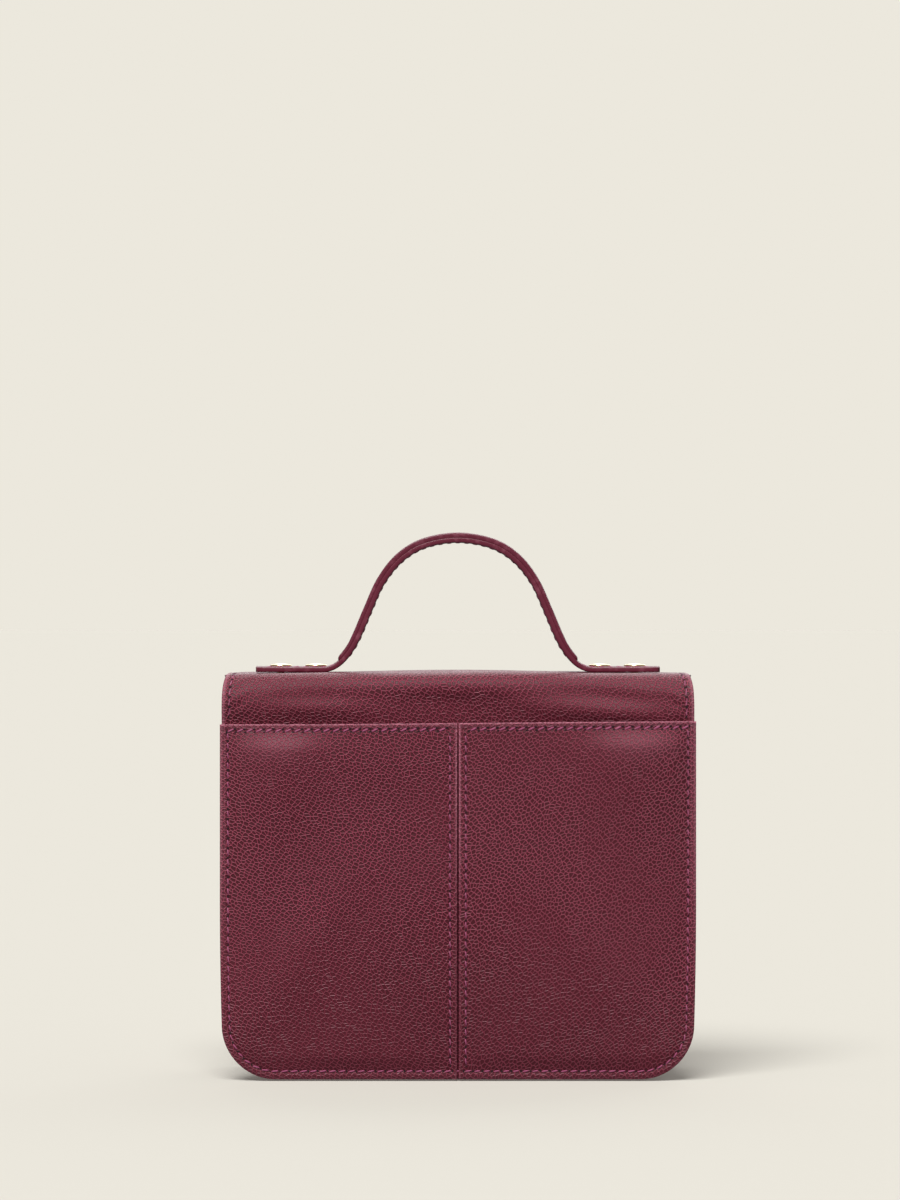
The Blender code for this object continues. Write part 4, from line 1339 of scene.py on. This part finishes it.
@dataclass
class Gusset:
    """The strip that makes both sides and the bottom, its edges turned out and sewn to the panels.

    t runs along the strip, down the left side, along the bottom and up the right. q runs across it,
    from the rear flange's edge over the web to the front flange's edge.
    """

    finishes: Finishes
    corner: float = 22 * MM
    flange: float = 5 * MM
    leather: float = 1.2 * MM
    turn_radius: float = 1.5 * MM
    web_columns: int = 44
    fold: float = 7 * MM
    flat_half: float = 12 * MM
    margin: float = 3.3 * MM
    half_width: float = field(init=False)
    top: float = field(init=False)
    rear_y: float = field(init=False)
    front_y: float = field(init=False)
    outline: Array = field(init=False)
    inner: Array = field(init=False)
    run: Array = field(init=False)
    inset: Array = field(init=False)
    y: Array = field(init=False)

    def __post_init__(self) -> None:
        """Lays out the strip's outline and its cross-section from the frame's box."""
        low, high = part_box("gusset")
        self.half_width, self.top = float(high[0]), float(high[2])
        self.rear_y, self.front_y = float(low[1]) + self.leather, float(high[1]) - self.leather
        self.outline = u_line(self.half_width, self.corner, self.top, 0.0)
        self.inner = u_line(self.half_width, self.corner, self.top, 1 * MM)
        self.run = running_length(self.outline)
        r = self.turn_radius
        angle = np.linspace(0, math.pi / 2, 6)
        rear = [np.array([0.0, 0.2, 0.45]) * self.flange, self.flange - r + r * np.sin(angle)]
        rear_y = [np.full(3, self.rear_y), self.rear_y + r - r * np.cos(angle)]
        web = np.linspace(self.rear_y + r, self.front_y - r, self.web_columns + 2)[1:-1]
        level = [np.full(self.web_columns, self.flange)]
        self.inset = np.concatenate(rear + level + [part[::-1] for part in rear[::-1]])
        mirrored = [self.rear_y + self.front_y - part[::-1] for part in rear_y[::-1]]
        self.y = np.concatenate(rear_y + [web] + mirrored)

    def at(self, t: Array, inset: Array, y: Array) -> Array:
        """A point at a length along the outline, moved in from it by inset.

        On the sides the web folds in: by fold * ease(height) * ease(nearness to the middle depth).
        Soft dents and cross wrinkles lie along the fold.

        Args:
            t: Lengths along the outline.
            inset: How far in from the outline.
            y: Depths front to back.

        Returns:
            Points, (..., 3).
        """
        base = [np.interp(t, self.run, self.outline[:, k]) for k in range(2)]
        step = [(np.interp(t, self.run, self.inner[:, k]) - base[k]) / (1 * MM) for k in range(2)]
        middle, reach = (self.rear_y + self.front_y) / 2, (self.front_y - self.rear_y) / 2
        share = ease(1 - np.maximum(0, np.abs(y - middle) - self.flat_half) / (reach - self.flat_half))
        share = share * (0.82 + 0.18 * bell(y - middle, 7 * MM))
        on_side = np.where(np.abs(base[0]) > self.half_width / 2, 1.0, 0.0)
        folded = self.fold * share * ease((base[1] - 6 * MM) / (34 * MM)) * on_side
        below_top = self.top - base[1]
        wrinkle = np.sin(base[1] * 260 + np.abs(y - middle) * 160) * bell(base[1] - 30 * MM, 16 * MM)
        upper = np.sin(base[1] * 170 + y * 120 + 1) * bell(below_top - 22 * MM, 22 * MM)
        wrinkle = 0.45 * MM * wrinkle + 0.35 * MM * upper
        wave = 0.22 * MM * np.sin(t * 61 + y * 70)
        dent = (wrinkle * on_side + wave) * share * ease(inset / self.flange)
        x, z = (base[k] + step[k] * (inset + dent) for k in range(2))
        return settle(np.stack([x - np.sign(base[0]) * folded, y + 0 * x, z], axis=-1))

    def flange_at(self, y: float) -> PlaceOnHide:
        """The strip's surface at one depth, as a function of the length and the inset."""
        return lambda t, inset: self.at(t, inset, np.full_like(t, y))

    def build(self) -> None:
        """Makes the strip and the stitching through both flanges."""
        corner = np.linspace(self.run[1], self.run[CORNER_POINTS], 20)
        side = np.linspace(0, self.run[1], 70)
        bottom = np.linspace(self.run[CORNER_POINTS], self.run[-1] / 2, 40)
        half = joined(side, corner, bottom)
        t = joined(half, (self.run[-1] - half)[::-1])
        along = np.broadcast_to(t, (len(self.inset), len(t)))
        points = self.at(along, self.inset[:, None], self.y[:, None])
        across = np.cumsum(np.hypot(np.diff(self.inset, prepend=0), np.diff(self.y, prepend=self.y[0])))
        hide = np.stack([along + 1.3, np.broadcast_to(across[:, None], along.shape)], axis=-1)
        strip = sheet_mesh("gusset_leather", points, hide, (0, 0, -1), 0.7)
        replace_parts(thicken(strip, self.leather, 0.3 * MM), "gusset")
        dress(strip, Slot.LEATHER, *self.finishes.hide)
        sewing = Stitching(self.finishes)
        line = np.array([[5 * MM, self.margin], [self.run[-1] - 5 * MM, self.margin]])
        rear = sewing.sew("gusset_rear_seam", self.flange_at(self.rear_y), line, flip=True)
        front = sewing.sew("gusset_front_seam", self.flange_at(self.front_y), line)
        follow([strip] + rear + front, Body.BAG)


@dataclass
class LiningBag:
    """The cloth bag inside: a lofted shell that follows the gusset's folded sides, open above.

    Each row is a loop at one height: the rear wall, a folded side, the front wall and the other
    side. Below, the loops close in to a line along the bottom.
    """

    finishes: Finishes
    cloth: float = 0.6 * MM
    corner: float = 12 * MM
    fold: float = 6.8 * MM
    flat_half: float = 13 * MM
    wall_columns: int = 70
    side_columns: int = 26
    closing: tuple[float, ...] = (0.0, 0.3, 0.6, 0.85)

    def build(self) -> None:
        """Makes the shell from its loops."""
        low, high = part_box("lining")
        half_width, top = float(high[0]), float(high[2] - low[2])
        rear, front = float(low[1]), float(high[1])
        middle, reach = (rear + front) / 2, (front - rear) / 2
        across = toward_edges(self.wall_columns, 0.4)
        depth = toward_edges(self.side_columns, 0.3)
        wall, side = np.ones(self.wall_columns - 1), np.ones(self.side_columns - 1)
        loop_x = np.concatenate([across[:-1], side, across[::-1][:-1], -side])
        loop_y = np.concatenate([-wall, depth[:-1], wall, depth[::-1][:-1]])
        height = corner_rows(self.corner, top, 12, 60)[:, None]
        width = corner_edge(height, half_width, self.corner)
        from_flat = np.maximum(0, np.abs(loop_y) * reach - self.flat_half)
        share = ease(1 - from_flat / (reach - self.flat_half))
        folded = self.fold * share * ease((height - 4 * MM) / (34 * MM)) * (np.abs(loop_x) == 1)
        x = width * loop_x - np.sign(loop_x) * folded
        slack = 0.8 * MM * np.sin(x * 55 + height * 22) * np.sin(height * 31 + 0.5)
        slack = slack + 0.5 * MM * np.sin(x * 130 - height * 60)
        inward = np.clip(slack, -0.2 * MM, 1.2 * MM) * ease((1 - np.abs(loop_x)) * 8) * (loop_y > 0.9)
        y = middle + reach * loop_y - inward
        walls = np.stack([x, y, np.broadcast_to(height + low[2], x.shape)], axis=-1)
        closing = np.array(self.closing)[:, None]
        base = walls[:1].repeat(len(closing), axis=0)
        base[..., 0] *= 1 - 0.06 * (1 - closing)
        base[..., 1] = middle + (base[..., 1] - middle) * closing
        points = np.concatenate([base, walls])
        rows, cols = points.shape[:2]
        bag = welded_mesh("lining_bag", points, grid_faces(rows, cols, cols, True).tolist())
        thicken(bag, self.cloth, 0.15 * MM)
        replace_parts(bag, "lining")
        follow([dress(bag, Slot.CLOTH, *[self.finishes.cloth] * 3)], Body.BAG)


def flat_at(y: float) -> PlaceOnHide:
    """An upright plane at one depth, as a function of x and z."""
    return lambda x, z: np.stack([x, np.full_like(x, y), z], axis=-1)


@dataclass
class InnerZip:
    """The zip on the rear lining: its teeth, and the stitching round its facing."""

    finishes: Finishes
    pitch: float = 1.5 * MM
    reach: float = 0.75 * MM
    depth: float = 0.42 * MM
    offset: float = 0.42 * MM
    fill: float = 0.42
    sides: int = 6
    stitch_border: float = 2.0 * MM

    def teeth(self, centre_z: float, half_length: float, y: float) -> bpy.types.Object:
        """Interlocked teeth, upper and lower in turn.

        Each is three six-sided rings: two of full size and one drawn in to 0.6 of it for its face.

        Args:
            centre_z: The height between the two tapes.
            half_length: Half of the toothed length.
            y: The depth of their middle.

        Returns:
            The object.
        """
        count = int(2 * half_length / self.pitch)
        turn = np.arange(self.sides) * 2 * math.pi / self.sides
        ring = np.stack([np.cos(turn) * self.pitch * self.fill, np.sin(turn) * self.reach], axis=1)
        rings = np.stack([ring, ring, ring * 0.6])
        depths = np.broadcast_to(np.array([-1.0, 0.5, 1.0])[:, None] * self.depth, rings.shape[:2])
        tooth = np.stack([rings[..., 0], depths, rings[..., 1]], axis=-1).reshape(-1, 3)
        index = np.arange(count)
        x = (index - (count - 1) / 2) * self.pitch
        z = np.where(index % 2 == 0, 1, -1) * self.offset + centre_z
        points = tooth[None] + np.stack([x, np.full(count, y), z], axis=1)[:, None]
        around = np.arange(self.sides)[None]
        parts = (grid_faces(3, self.sides, self.sides, True), around[:, ::-1], around + 2 * self.sides)
        faces = [face for part in parts for face in copies(part, count, 3 * self.sides).tolist()]
        return dress(welded_mesh("zip_teeth", points, faces), Slot.GOLD, self.finishes.gold)

    def build(self) -> None:
        """Makes the teeth and two rows of stitches on the facing."""
        upper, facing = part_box("zip_tape_upper"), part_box("zip_facing")
        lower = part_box("zip_tape_lower")
        centre_z = float(upper[0][2] + lower[1][2]) / 2
        y = float(upper[1][1]) - 0.15 * MM
        pieces = [self.teeth(centre_z, float(upper[1][0]) - 5 * MM, y)]
        face_y, reach = float(facing[1][1]), float(facing[1][0]) - self.stitch_border
        sewing = Stitching(self.finishes, pitch=3.2 * MM, radius=0.2 * MM, hole=0.3 * MM)
        heights = {"lower": facing[0][2] + self.stitch_border, "upper": facing[1][2] - self.stitch_border}
        for word, height in heights.items():
            line = np.array([[-reach, height], [reach, height]])
            pieces += sewing.sew(f"zip_facing_{word}", flat_at(face_y), line, flip=True)
        follow(pieces, Body.BAG)


# --- Handle and hardware ---------------------------------------------------------------------


def smooth_path(knots: Array, steps: int) -> Array:
    """A Catmull-Rom curve through knots: each span is the usual cubic of its four nearest knots.

    Args:
        knots: Points, one a row.
        steps: Points to a span.

    Returns:
        The curve's points.
    """
    ends = [2 * knots[:1] - knots[1:2], knots, 2 * knots[-1:] - knots[-2:-1]]
    around = np.concatenate(ends)[:, None]
    a, b, c, d = around[:-3], around[1:-2], around[2:-1], around[3:]
    t = (np.arange(steps) / steps)[None, :, None]
    curve = b + (c - a) * t / 2 + (2 * a - 5 * b + 4 * c - d) * t**2 / 2 + (3 * b - a - 3 * c + d) * t**3 / 2
    return np.concatenate([curve.reshape(-1, knots.shape[1]), knots[-1:]])


def quarter(radius: float, count: int) -> Array:
    """Lengths from 0 to radius at equal angles round a quarter circle: r - r cos(angle)."""
    return radius * (1 - np.cos(np.linspace(0, math.pi / 2, count)))


def end_drop(from_end: Array, radius: float) -> Array:
    """How far a round end falls below its full size: r - sqrt(r^2 - (r - distance)^2)."""
    return radius - np.sqrt(radius**2 - np.maximum(0, radius - from_end) ** 2)


@dataclass
class Handle:
    """The top handle: a long strap that is riveted down at both ends, with a cover strap sewn on it.

    Knots are (x, height above the bag's top) from the handle's middle to its end, in millimetres.
    """

    finishes: Finishes
    knots: tuple[tuple[float, float], ...] = (
        (0, 57.6), (14.4, 55.2), (24.8, 49), (32.8, 39), (38.5, 26.6), (43, 16),
        (46.6, 9.2), (50.6, 4.3), (55.2, 1.9), (62, 1.7), (72, 1.7), (86, 1.7),
    )
    tab: tuple[float, float] = (19 * MM, 2.8 * MM)
    grip: tuple[float, float] = (16 * MM, 3.75 * MM)
    swell: float = 0.55 * MM
    long_strap: float = 2.2 * MM
    cover_end: float = 50.2 * MM
    tip: float = 2.2 * MM
    margin: float = 2.1 * MM
    rounding: float = 4 * MM
    section_points: int = 48
    base: float = field(init=False)
    line: Array = field(init=False)
    run: Array = field(init=False)
    normal: Array = field(init=False)

    def __post_init__(self) -> None:
        """Lays out the centre line and its unit normals over its running length."""
        self.base = float(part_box("flap_top")[1][2])
        half = np.array(self.knots) * MM + (0, self.base)
        knots = np.concatenate([half[:0:-1] * (-1, 1), half])
        self.line = smooth_path(knots, 10)
        self.run = running_length(self.line)
        ahead = unit(np.gradient(self.line, axis=0))
        self.normal = np.stack([-ahead[:, 1], ahead[:, 0]], axis=1)

    def size_at(self, s: Array) -> tuple[Array, Array]:
        """The strap's width and thickness at a length: the tab's low down, the grip's higher up."""
        height = np.interp(s, self.run, self.line[:, 1]) - self.base
        shares = (ease((height - 6 * MM) / (34 * MM)), ease((height - 2 * MM) / (14 * MM)))
        both = zip(self.tab, self.grip, shares)
        width, thickness = (low + (high - low) * share for low, high, share in both)
        return width, thickness + self.swell * ease((height - 32 * MM) / (22 * MM))

    def place(self, s: Array, y: Array, off: Array) -> Array:
        """A point at a length, across the strap, and off its centre line along its normal."""
        x, z = (np.interp(s, self.run, self.line[:, k]) for k in range(2))
        nx, nz = (np.interp(s, self.run, self.normal[:, k]) for k in range(2))
        return np.stack([x + nx * off, y + 0 * x, z + nz * off], axis=-1)

    def cover_face(self, s: Array, y: Array) -> Array:
        """The cover's upper face where its stitches lie, a little under its dome."""
        return self.place(s, y, self.size_at(s)[1] / 2 - 0.42 * MM)

    def tab_face(self, s: Array, y: Array) -> Array:
        """The long strap's upper face where its stitches lie, beyond the cover."""
        return self.place(s, y, self.long_strap - self.size_at(s)[1] / 2 - 0.1 * MM)

    def under_face(self, s: Array, y: Array) -> Array:
        """The long strap's lower face, which the hand holds."""
        return self.place(s, y, 0.14 * MM - self.size_at(s)[1] / 2)

    def strap(
        self, name: str, s: Array, low: Array, high: Array, width: Array, seed: float
    ) -> bpy.types.Object:
        """One strap as rings of a rounded rectangle, carried along the centre line.

        A ring is (W/2 sgn(c)|c|^0.2, middle + T/2 sgn(s)|s|^0.2) for c and s the cosine and sine of
        even turns. Its upper face is domed by 0.3 mm.

        Args:
            name: The object's name.
            s: Lengths of the rings.
            low: The lower face's place off the centre line.
            high: The upper face's place.
            width: The widths.
            seed: Where on the hide it is cut from.

        Returns:
            The object.
        """
        turn = np.arange(self.section_points) * 2 * math.pi / self.section_points
        cosine, sine = np.cos(turn), np.sin(turn)
        across = np.sign(cosine) * np.abs(cosine) ** 0.2
        up = np.sign(sine) * np.abs(sine) ** 0.2
        y = width[:, None] / 2 * across
        middle, half = (low + high)[:, None] / 2, (high - low)[:, None] / 2
        stitch = np.abs(np.abs(y) - width[:, None] / 2 + self.margin)
        shape = np.maximum(up, 0) * (0.3 * MM * (1 - across**2) - 0.14 * MM * bell(stitch, 0.8 * MM))
        off = middle + half * up + shape
        rings = self.place(np.broadcast_to(s[:, None], y.shape), y, off)
        around = np.concatenate([y, y[:, :1]], axis=1)
        hide = np.stack([np.broadcast_to(s[:, None] + seed, around.shape), around], axis=-1)
        obj = closed_mesh(name, rings, hide)
        dress(obj, Slot.LEATHER, self.finishes.strap, self.finishes.edge)
        normals = np.empty(len(obj.data.polygons) * 3, np.float32)
        obj.data.polygons.foreach_get("normal", normals)
        cut_edge = (np.abs(normals.reshape(-1, 3)[:, 1]) > 0.75).astype(np.int32)
        obj.data.polygons.foreach_set("material_index", cut_edge)
        return obj

    def build(self) -> None:
        """Makes both straps and the stitching along their upper and lower faces."""
        total = self.run[-1]
        ends = quarter(self.rounding, 7)
        s = joined(ends, np.linspace(self.rounding, total - self.rounding, 170), (total - ends)[::-1])
        width, thickness = self.size_at(s)
        width = width - 1.6 * end_drop(np.minimum(s, total - s), self.rounding)
        low = -thickness / 2
        long_strap = self.strap("handle_long_strap", s, low, low + self.long_strap, width, 0.0)
        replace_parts(long_strap, "handle_strap", "handle_foot_left", "handle_foot_right")

        reach = total / 2 - float(np.interp(-self.cover_end, self.line[:, 0], self.run))
        tip = quarter(self.tip, 6)
        middle = np.linspace(self.tip - reach, reach - self.tip, 130)
        s = joined(tip - reach, middle, (reach - tip)[::-1]) + total / 2
        width, thickness = self.size_at(s)
        drop = end_drop(reach - np.abs(s - total / 2), self.tip)
        low = self.long_strap - thickness / 2 - 0.3 * MM
        high = np.maximum(thickness / 2 - 0.18 * MM, low + 1.5 * MM) - drop * 0.55
        cover = self.strap("handle_cover_strap", s, low, high, width - 0.4 * MM - drop, 0.4)

        sewing = Stitching(self.finishes, pitch=3.9 * MM, radius=0.26 * MM, hole=0.46 * MM)
        pieces = [long_strap, cover]
        near_tip = reach - 3 * MM
        runs = {
            "handle_cover": (self.cover_face, total / 2 - near_tip, total / 2 + near_tip, False),
            "handle_under": (self.under_face, total / 2 - near_tip, total / 2 + near_tip, True),
            "handle_tab_left": (self.tab_face, 4 * MM, total / 2 - reach - 2 * MM, False),
            "handle_tab_right": (self.tab_face, total / 2 + reach + 2 * MM, total - 4 * MM, False),
        }
        for name, (face, start, end, flip) in runs.items():
            path = np.linspace(start, end, 80)
            for side, word in ((-1, "rear"), (1, "front")):
                row = (self.size_at(path)[0] / 2 - self.margin) * side
                pieces += sewing.sew(f"{name}_{word}", face, np.stack([path, row], axis=1), flip=flip)
        low_z, high_z = self.base + 2 * MM, self.base + 14 * MM
        bend(pieces, Body.FLAP_TOP, Body.HANDLE, np.array([0, 0, low_z]), np.array([0, 0, high_z]))


def turned(name: str, profile: Array, x: float, y: float, steps: int = 40) -> bpy.types.Object:
    """A body of revolution about an upright line: each profile point (r, z) sweeps a circle.

    Args:
        name: The object's name.
        profile: Points (r, z), the first and last on the axis.
        x: The axis's x.
        y: The axis's y.
        steps: Points to a circle.

    Returns:
        The object.
    """
    turn = np.arange(steps) * 2 * math.pi / steps
    radius, height = profile[:, :1], profile[:, 1:]
    rings = np.stack([x + radius * np.cos(turn), y + radius * np.sin(turn), height + 0 * turn], axis=-1)
    return closed_mesh(name, rings)


@dataclass
class Rivets:
    """The four rivets of the handle: a domed head inside a raised ring, on a post."""

    finishes: Finishes
    post: float = 1.5 * MM
    ring: float = 0.55 * MM
    strap_top: float = 2.5 * MM
    sunk: float = 0.1 * MM
    dome: float = 0.75 * MM

    def profile(self, radius: float, low: float, seat: float) -> Array:
        """Half of a rivet's section, from the axis below to the axis above.

        The ring is a half circle, and the dome a quarter of an ellipse inside it.

        Args:
            radius: The head's radius.
            low: Where the post starts.
            seat: Where the head sits.

        Returns:
            Points (r, z).
        """
        edge = np.linspace(-math.pi / 2, math.pi / 2, 9)
        rim = np.stack([np.cos(edge) - 1, np.sin(edge) + 1], axis=1) * self.ring + (radius, seat)
        angle = np.linspace(0, math.pi / 2, 10)
        dome_radius = radius - 2 * self.ring
        dome = np.stack([dome_radius * np.cos(angle), seat + self.dome * (1 + np.sin(angle))], axis=1)
        return np.concatenate([[[0, low], [self.post, low], [self.post, seat]], rim, dome])

    def build(self) -> None:
        """Makes each rivet on its CAD node's post, its head resting on the strap."""
        seat = float(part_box("flap_top")[1][2]) + self.strap_top - self.sunk
        for node in ("rivet_outer_left", "rivet_inner_left", "rivet_inner_right", "rivet_outer_right"):
            low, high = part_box(node)
            profile = self.profile(float(high[0] - low[0]) / 2, float(low[2]), seat)
            rivet = turned(f"{node}_turned", profile, float(low[0] + high[0]) / 2, 0.0)
            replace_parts(rivet, node)
            follow([dress(rivet, Slot.GOLD, self.finishes.gold)], Body.FLAP_TOP)


@dataclass
class TurnLock:
    """The turn lock's front plate with its slot, and the knob that turns in it.

    Each tuple lists outlines in millimetres, as (how far in, or out round the slot, how far forward).
    """

    finishes: Finishes
    arc_steps: int = 20
    slot_clear: float = 0.8 * MM
    plate_front: tuple[tuple[float, float], ...] = ((0, -0.3), (0.35, 0), (1.2, 0), (1.7, -0.3), (3.2, -0.35))
    plate_slot: tuple[tuple[float, float], ...] = ((1.3, -0.3), (0.9, 0.2), (0.25, 0.2), (0, -0.1))
    stem: tuple[tuple[float, float], ...] = ((2, 0), (4, 0), (4, 0.6), (2.6, 0.6))
    head: tuple[tuple[float, float], ...] = (
        (0.9, 0), (0.25, 0.1), (0, 0.55), (0, 2.3), (0.2, 2.9), (0.7, 3.3), (1.4, 3.52), (2.2, 3.6)
    )

    def ring(self, half_length: float, radius: float, y: float, z: float) -> Array:
        """An outline of two half circles joined by straight lines, at one depth.

        Args:
            half_length: Half its whole length.
            radius: The half circles' radius.
            y: Its depth.
            z: Its middle's height.

        Returns:
            Points, one a row.
        """
        turn = np.linspace(-math.pi / 2, math.pi / 2, self.arc_steps)
        right = np.stack([half_length - radius + radius * np.cos(turn), radius * np.sin(turn)], axis=1)
        flat = np.concatenate([right, -right])
        return np.stack([flat[:, 0], np.full(len(flat), y), flat[:, 1] + z], axis=1)

    def plate(self, slot: tuple[float, float], z: float) -> bpy.types.Object:
        """The plate as a closed ring of outlines.

        Args:
            slot: Half the slot's length and half its height.
            z: The lock's height.

        Returns:
            The object.
        """
        low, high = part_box("lock_plate")
        long, tall = float(high[0]), float(high[2] - low[2]) / 2
        back, face = float(low[1]), float(high[1])
        rings = [self.ring(long, tall, back, z)]
        rings += [self.ring(long - i * MM, tall - i * MM, face + f * MM, z) for i, f in self.plate_front]
        rings += [self.ring(slot[0] + o * MM, slot[1] + o * MM, face + f * MM, z) for o, f in self.plate_slot]
        rings += [self.ring(*slot, back, z), rings[0]]
        closed = np.stack(rings)
        rows, cols = closed.shape[:2]
        plate = welded_mesh("lock_front_plate", closed, grid_faces(rows, cols, cols, True).tolist())
        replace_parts(plate, "lock_plate")
        return dress(plate, Slot.GOLD, self.finishes.gold)

    def knob(self, half_height: float, z: float) -> bpy.types.Object:
        """The knob as a stack of outlines: a round foot, a stem and the long head.

        Args:
            half_height: Half the head's height.
            z: The lock's height.

        Returns:
            The object.
        """
        low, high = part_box("lock_knob")
        half, foot = float(high[0]), float(low[1])
        seat = float(high[1]) - self.head[-1][1] * MM
        stem = [(radius * MM, foot + forward * MM) for radius, forward in self.stem]
        stem.append((stem[-1][0], seat))
        outlines = [self.ring(radius + 1e-6, radius, y, z) for radius, y in stem]
        outlines += [self.ring(half - i * MM, half_height - i * MM, seat + f * MM, z) for i, f in self.head]
        knob = closed_mesh("lock_knob_turned", np.stack(outlines))
        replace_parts(knob, "lock_knob")
        return dress(knob, Slot.GOLD, self.finishes.gold)

    def build(self) -> None:
        """Makes the plate round the knob's head, and the knob."""
        low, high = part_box("lock_knob")
        z = middle_height("lock_plate")
        slot = (float(high[0]) + self.slot_clear, float(high[2] - low[2]) / 2)
        follow([self.plate(slot, z)], Body.FLAP_FRONT)
        follow([self.knob(slot[1] - self.slot_clear, z)], Body.KNOB)


def dress_carried_nodes(finishes: Finishes) -> None:
    """Gives each CAD node that stays its own procedural finish."""
    chosen = {
        finishes.board: ("base_board", "front_stiffener", "rear_stiffener"),
        finishes.gold: ("lock_base", "zip_slider", "zip_pull"),
        finishes.nickel: (
            "lock_base_back", "lock_plate_back", "rivet_cap_inner_left", "rivet_cap_inner_right",
            "rivet_cap_outer_left", "rivet_cap_outer_right",
        ),
        finishes.tape: ("zip_tape_lower", "zip_tape_upper"),
        finishes.suede: ("zip_facing",),
        finishes.cloth: ("zip_pocket_bag",),
    }
    for material, nodes in chosen.items():
        for node in nodes:
            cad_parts[node].material_slots[0].material = material
            LOG.info("%s: %s", node, material.name)


# --- Studio ----------------------------------------------------------------------------------


@dataclass(frozen=True)
class Lamp:
    """A soft sun: its lean toward the camera and the left in degrees, strength, and width in degrees."""

    name: str
    tilt: tuple[float, float]
    power: float
    spread: float
    shadows: bool

    @property
    def on_floor(self) -> float:
        """The share of its light that a level floor gives back: power * cos(lean) / pi."""
        lean = math.prod(math.cos(math.radians(angle)) for angle in self.tilt)
        return self.power * lean / math.pi

    def build(self) -> None:
        """Makes the lamp."""
        light = bpy.data.lights.new(self.name, "SUN")
        light.energy = self.power
        light.angle = math.radians(self.spread)
        light.use_shadow = self.shadows
        lamp = link_object(self.name, light)
        lamp.rotation_euler = (math.radians(self.tilt[0]), math.radians(-self.tilt[1]), 0)


@dataclass
class Studio:
    """A plain pale floor, soft light from above in front and behind, and the camera."""

    pale: Colour = (0.838, 0.806, 0.723)
    ambient: float = 0.26
    albedo: float = 0.62
    lamps: tuple[Lamp, ...] = (
        Lamp("key", (34.0, 10.0), 3.9, 36.0, True),
        Lamp("fill", (-56.0, -14.0), 1.5, 60.0, False),
    )
    camera_x: float = -3.35 * MM
    camera_z: float = 201 * MM
    distance: float = 2.0
    view_height: float = 502 * MM
    gap: float = 0.8 * MM
    reach: float = 30.0

    def floor(self) -> None:
        """A wide pale plane just under the bag, partly lit and partly glowing, so that it stays even.

        Its glow is 1 - albedo * (ambient + the lamps' light), so that open floor has the sky's brightness.
        It casts no light back on the bag.
        """
        signs = ((-1, -1), (1, -1), (1, 1), (-1, 1))
        corners = [(x * self.reach, y * self.reach, -self.gap) for x, y in signs]
        mesh = bpy.data.meshes.new("floor")
        mesh.from_pydata(corners, [], [(0, 1, 2, 3)])
        glow = 1 - self.albedo * (self.ambient + sum(lamp.on_floor for lamp in self.lamps))
        board = NodeBoard("pale_floor")
        board.surface(Base_Color=tuple(self.albedo * c for c in self.pale), Roughness=1.0)
        board.surface(Specular_IOR_Level=0.0, Emission_Color=self.pale, Emission_Strength=glow)
        floor = link_object("floor", mesh)
        floor.data.materials.append(board.material)
        floor.visible_diffuse = floor.visible_glossy = False

    def sky(self) -> None:
        """A world that is the floor's colour where it is seen, and dimmer and white where it lights."""
        world = bpy.data.worlds.new("studio")
        bpy.context.scene.world = world
        world.use_nodes = True
        tree = world.node_tree
        light = tree.nodes["Background"]
        light.inputs["Color"].default_value = (1, 1, 1, 1)
        light.inputs["Strength"].default_value = self.ambient
        seen = tree.nodes.new("ShaderNodeBackground")
        seen.inputs["Color"].default_value = (*self.pale, 1)
        mix = tree.nodes.new("ShaderNodeMixShader")
        tree.links.new(tree.nodes.new("ShaderNodeLightPath").outputs["Is Camera Ray"], mix.inputs[0])
        tree.links.new(light.outputs[0], mix.inputs[1])
        tree.links.new(seen.outputs[0], mix.inputs[2])
        tree.links.new(mix.outputs[0], tree.nodes["World Output"].inputs["Surface"])

    def camera(self) -> None:
        """A level camera, square to the rear pocket."""
        data = bpy.data.cameras.new("view")
        data.sensor_width = 36
        data.lens = data.sensor_width * self.distance / self.view_height
        data.clip_start, data.clip_end = 0.05, 100
        camera = link_object("view", data)
        pocket_y = float(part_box("slip_pocket_left")[0][1])
        camera.location = (self.camera_x, pocket_y - self.distance, self.camera_z)
        camera.rotation_euler = (math.pi / 2, 0, 0)
        bpy.context.scene.camera = camera

    def build(self) -> None:
        """Makes the whole studio."""
        self.floor()
        self.sky()
        for lamp in self.lamps:
            lamp.build()
        self.camera()
        bpy.context.scene.view_settings.view_transform = "Standard"


def main() -> None:
    """Builds every sub-assembly in order, then the studio."""
    logging.basicConfig(level=logging.INFO, format="%(name)s: %(message)s", stream=sys.stdout)
    finishes = Finishes()
    for assembly in (SlipPocket, Wrap, FrontPanel, Gusset, LiningBag, InnerZip, Handle, Rivets, TurnLock):
        LOG.info("building %s", assembly.__name__)
        assembly(finishes).build()
    dress_carried_nodes(finishes)
    Studio().build()


if __name__ == "__main__":
    main()
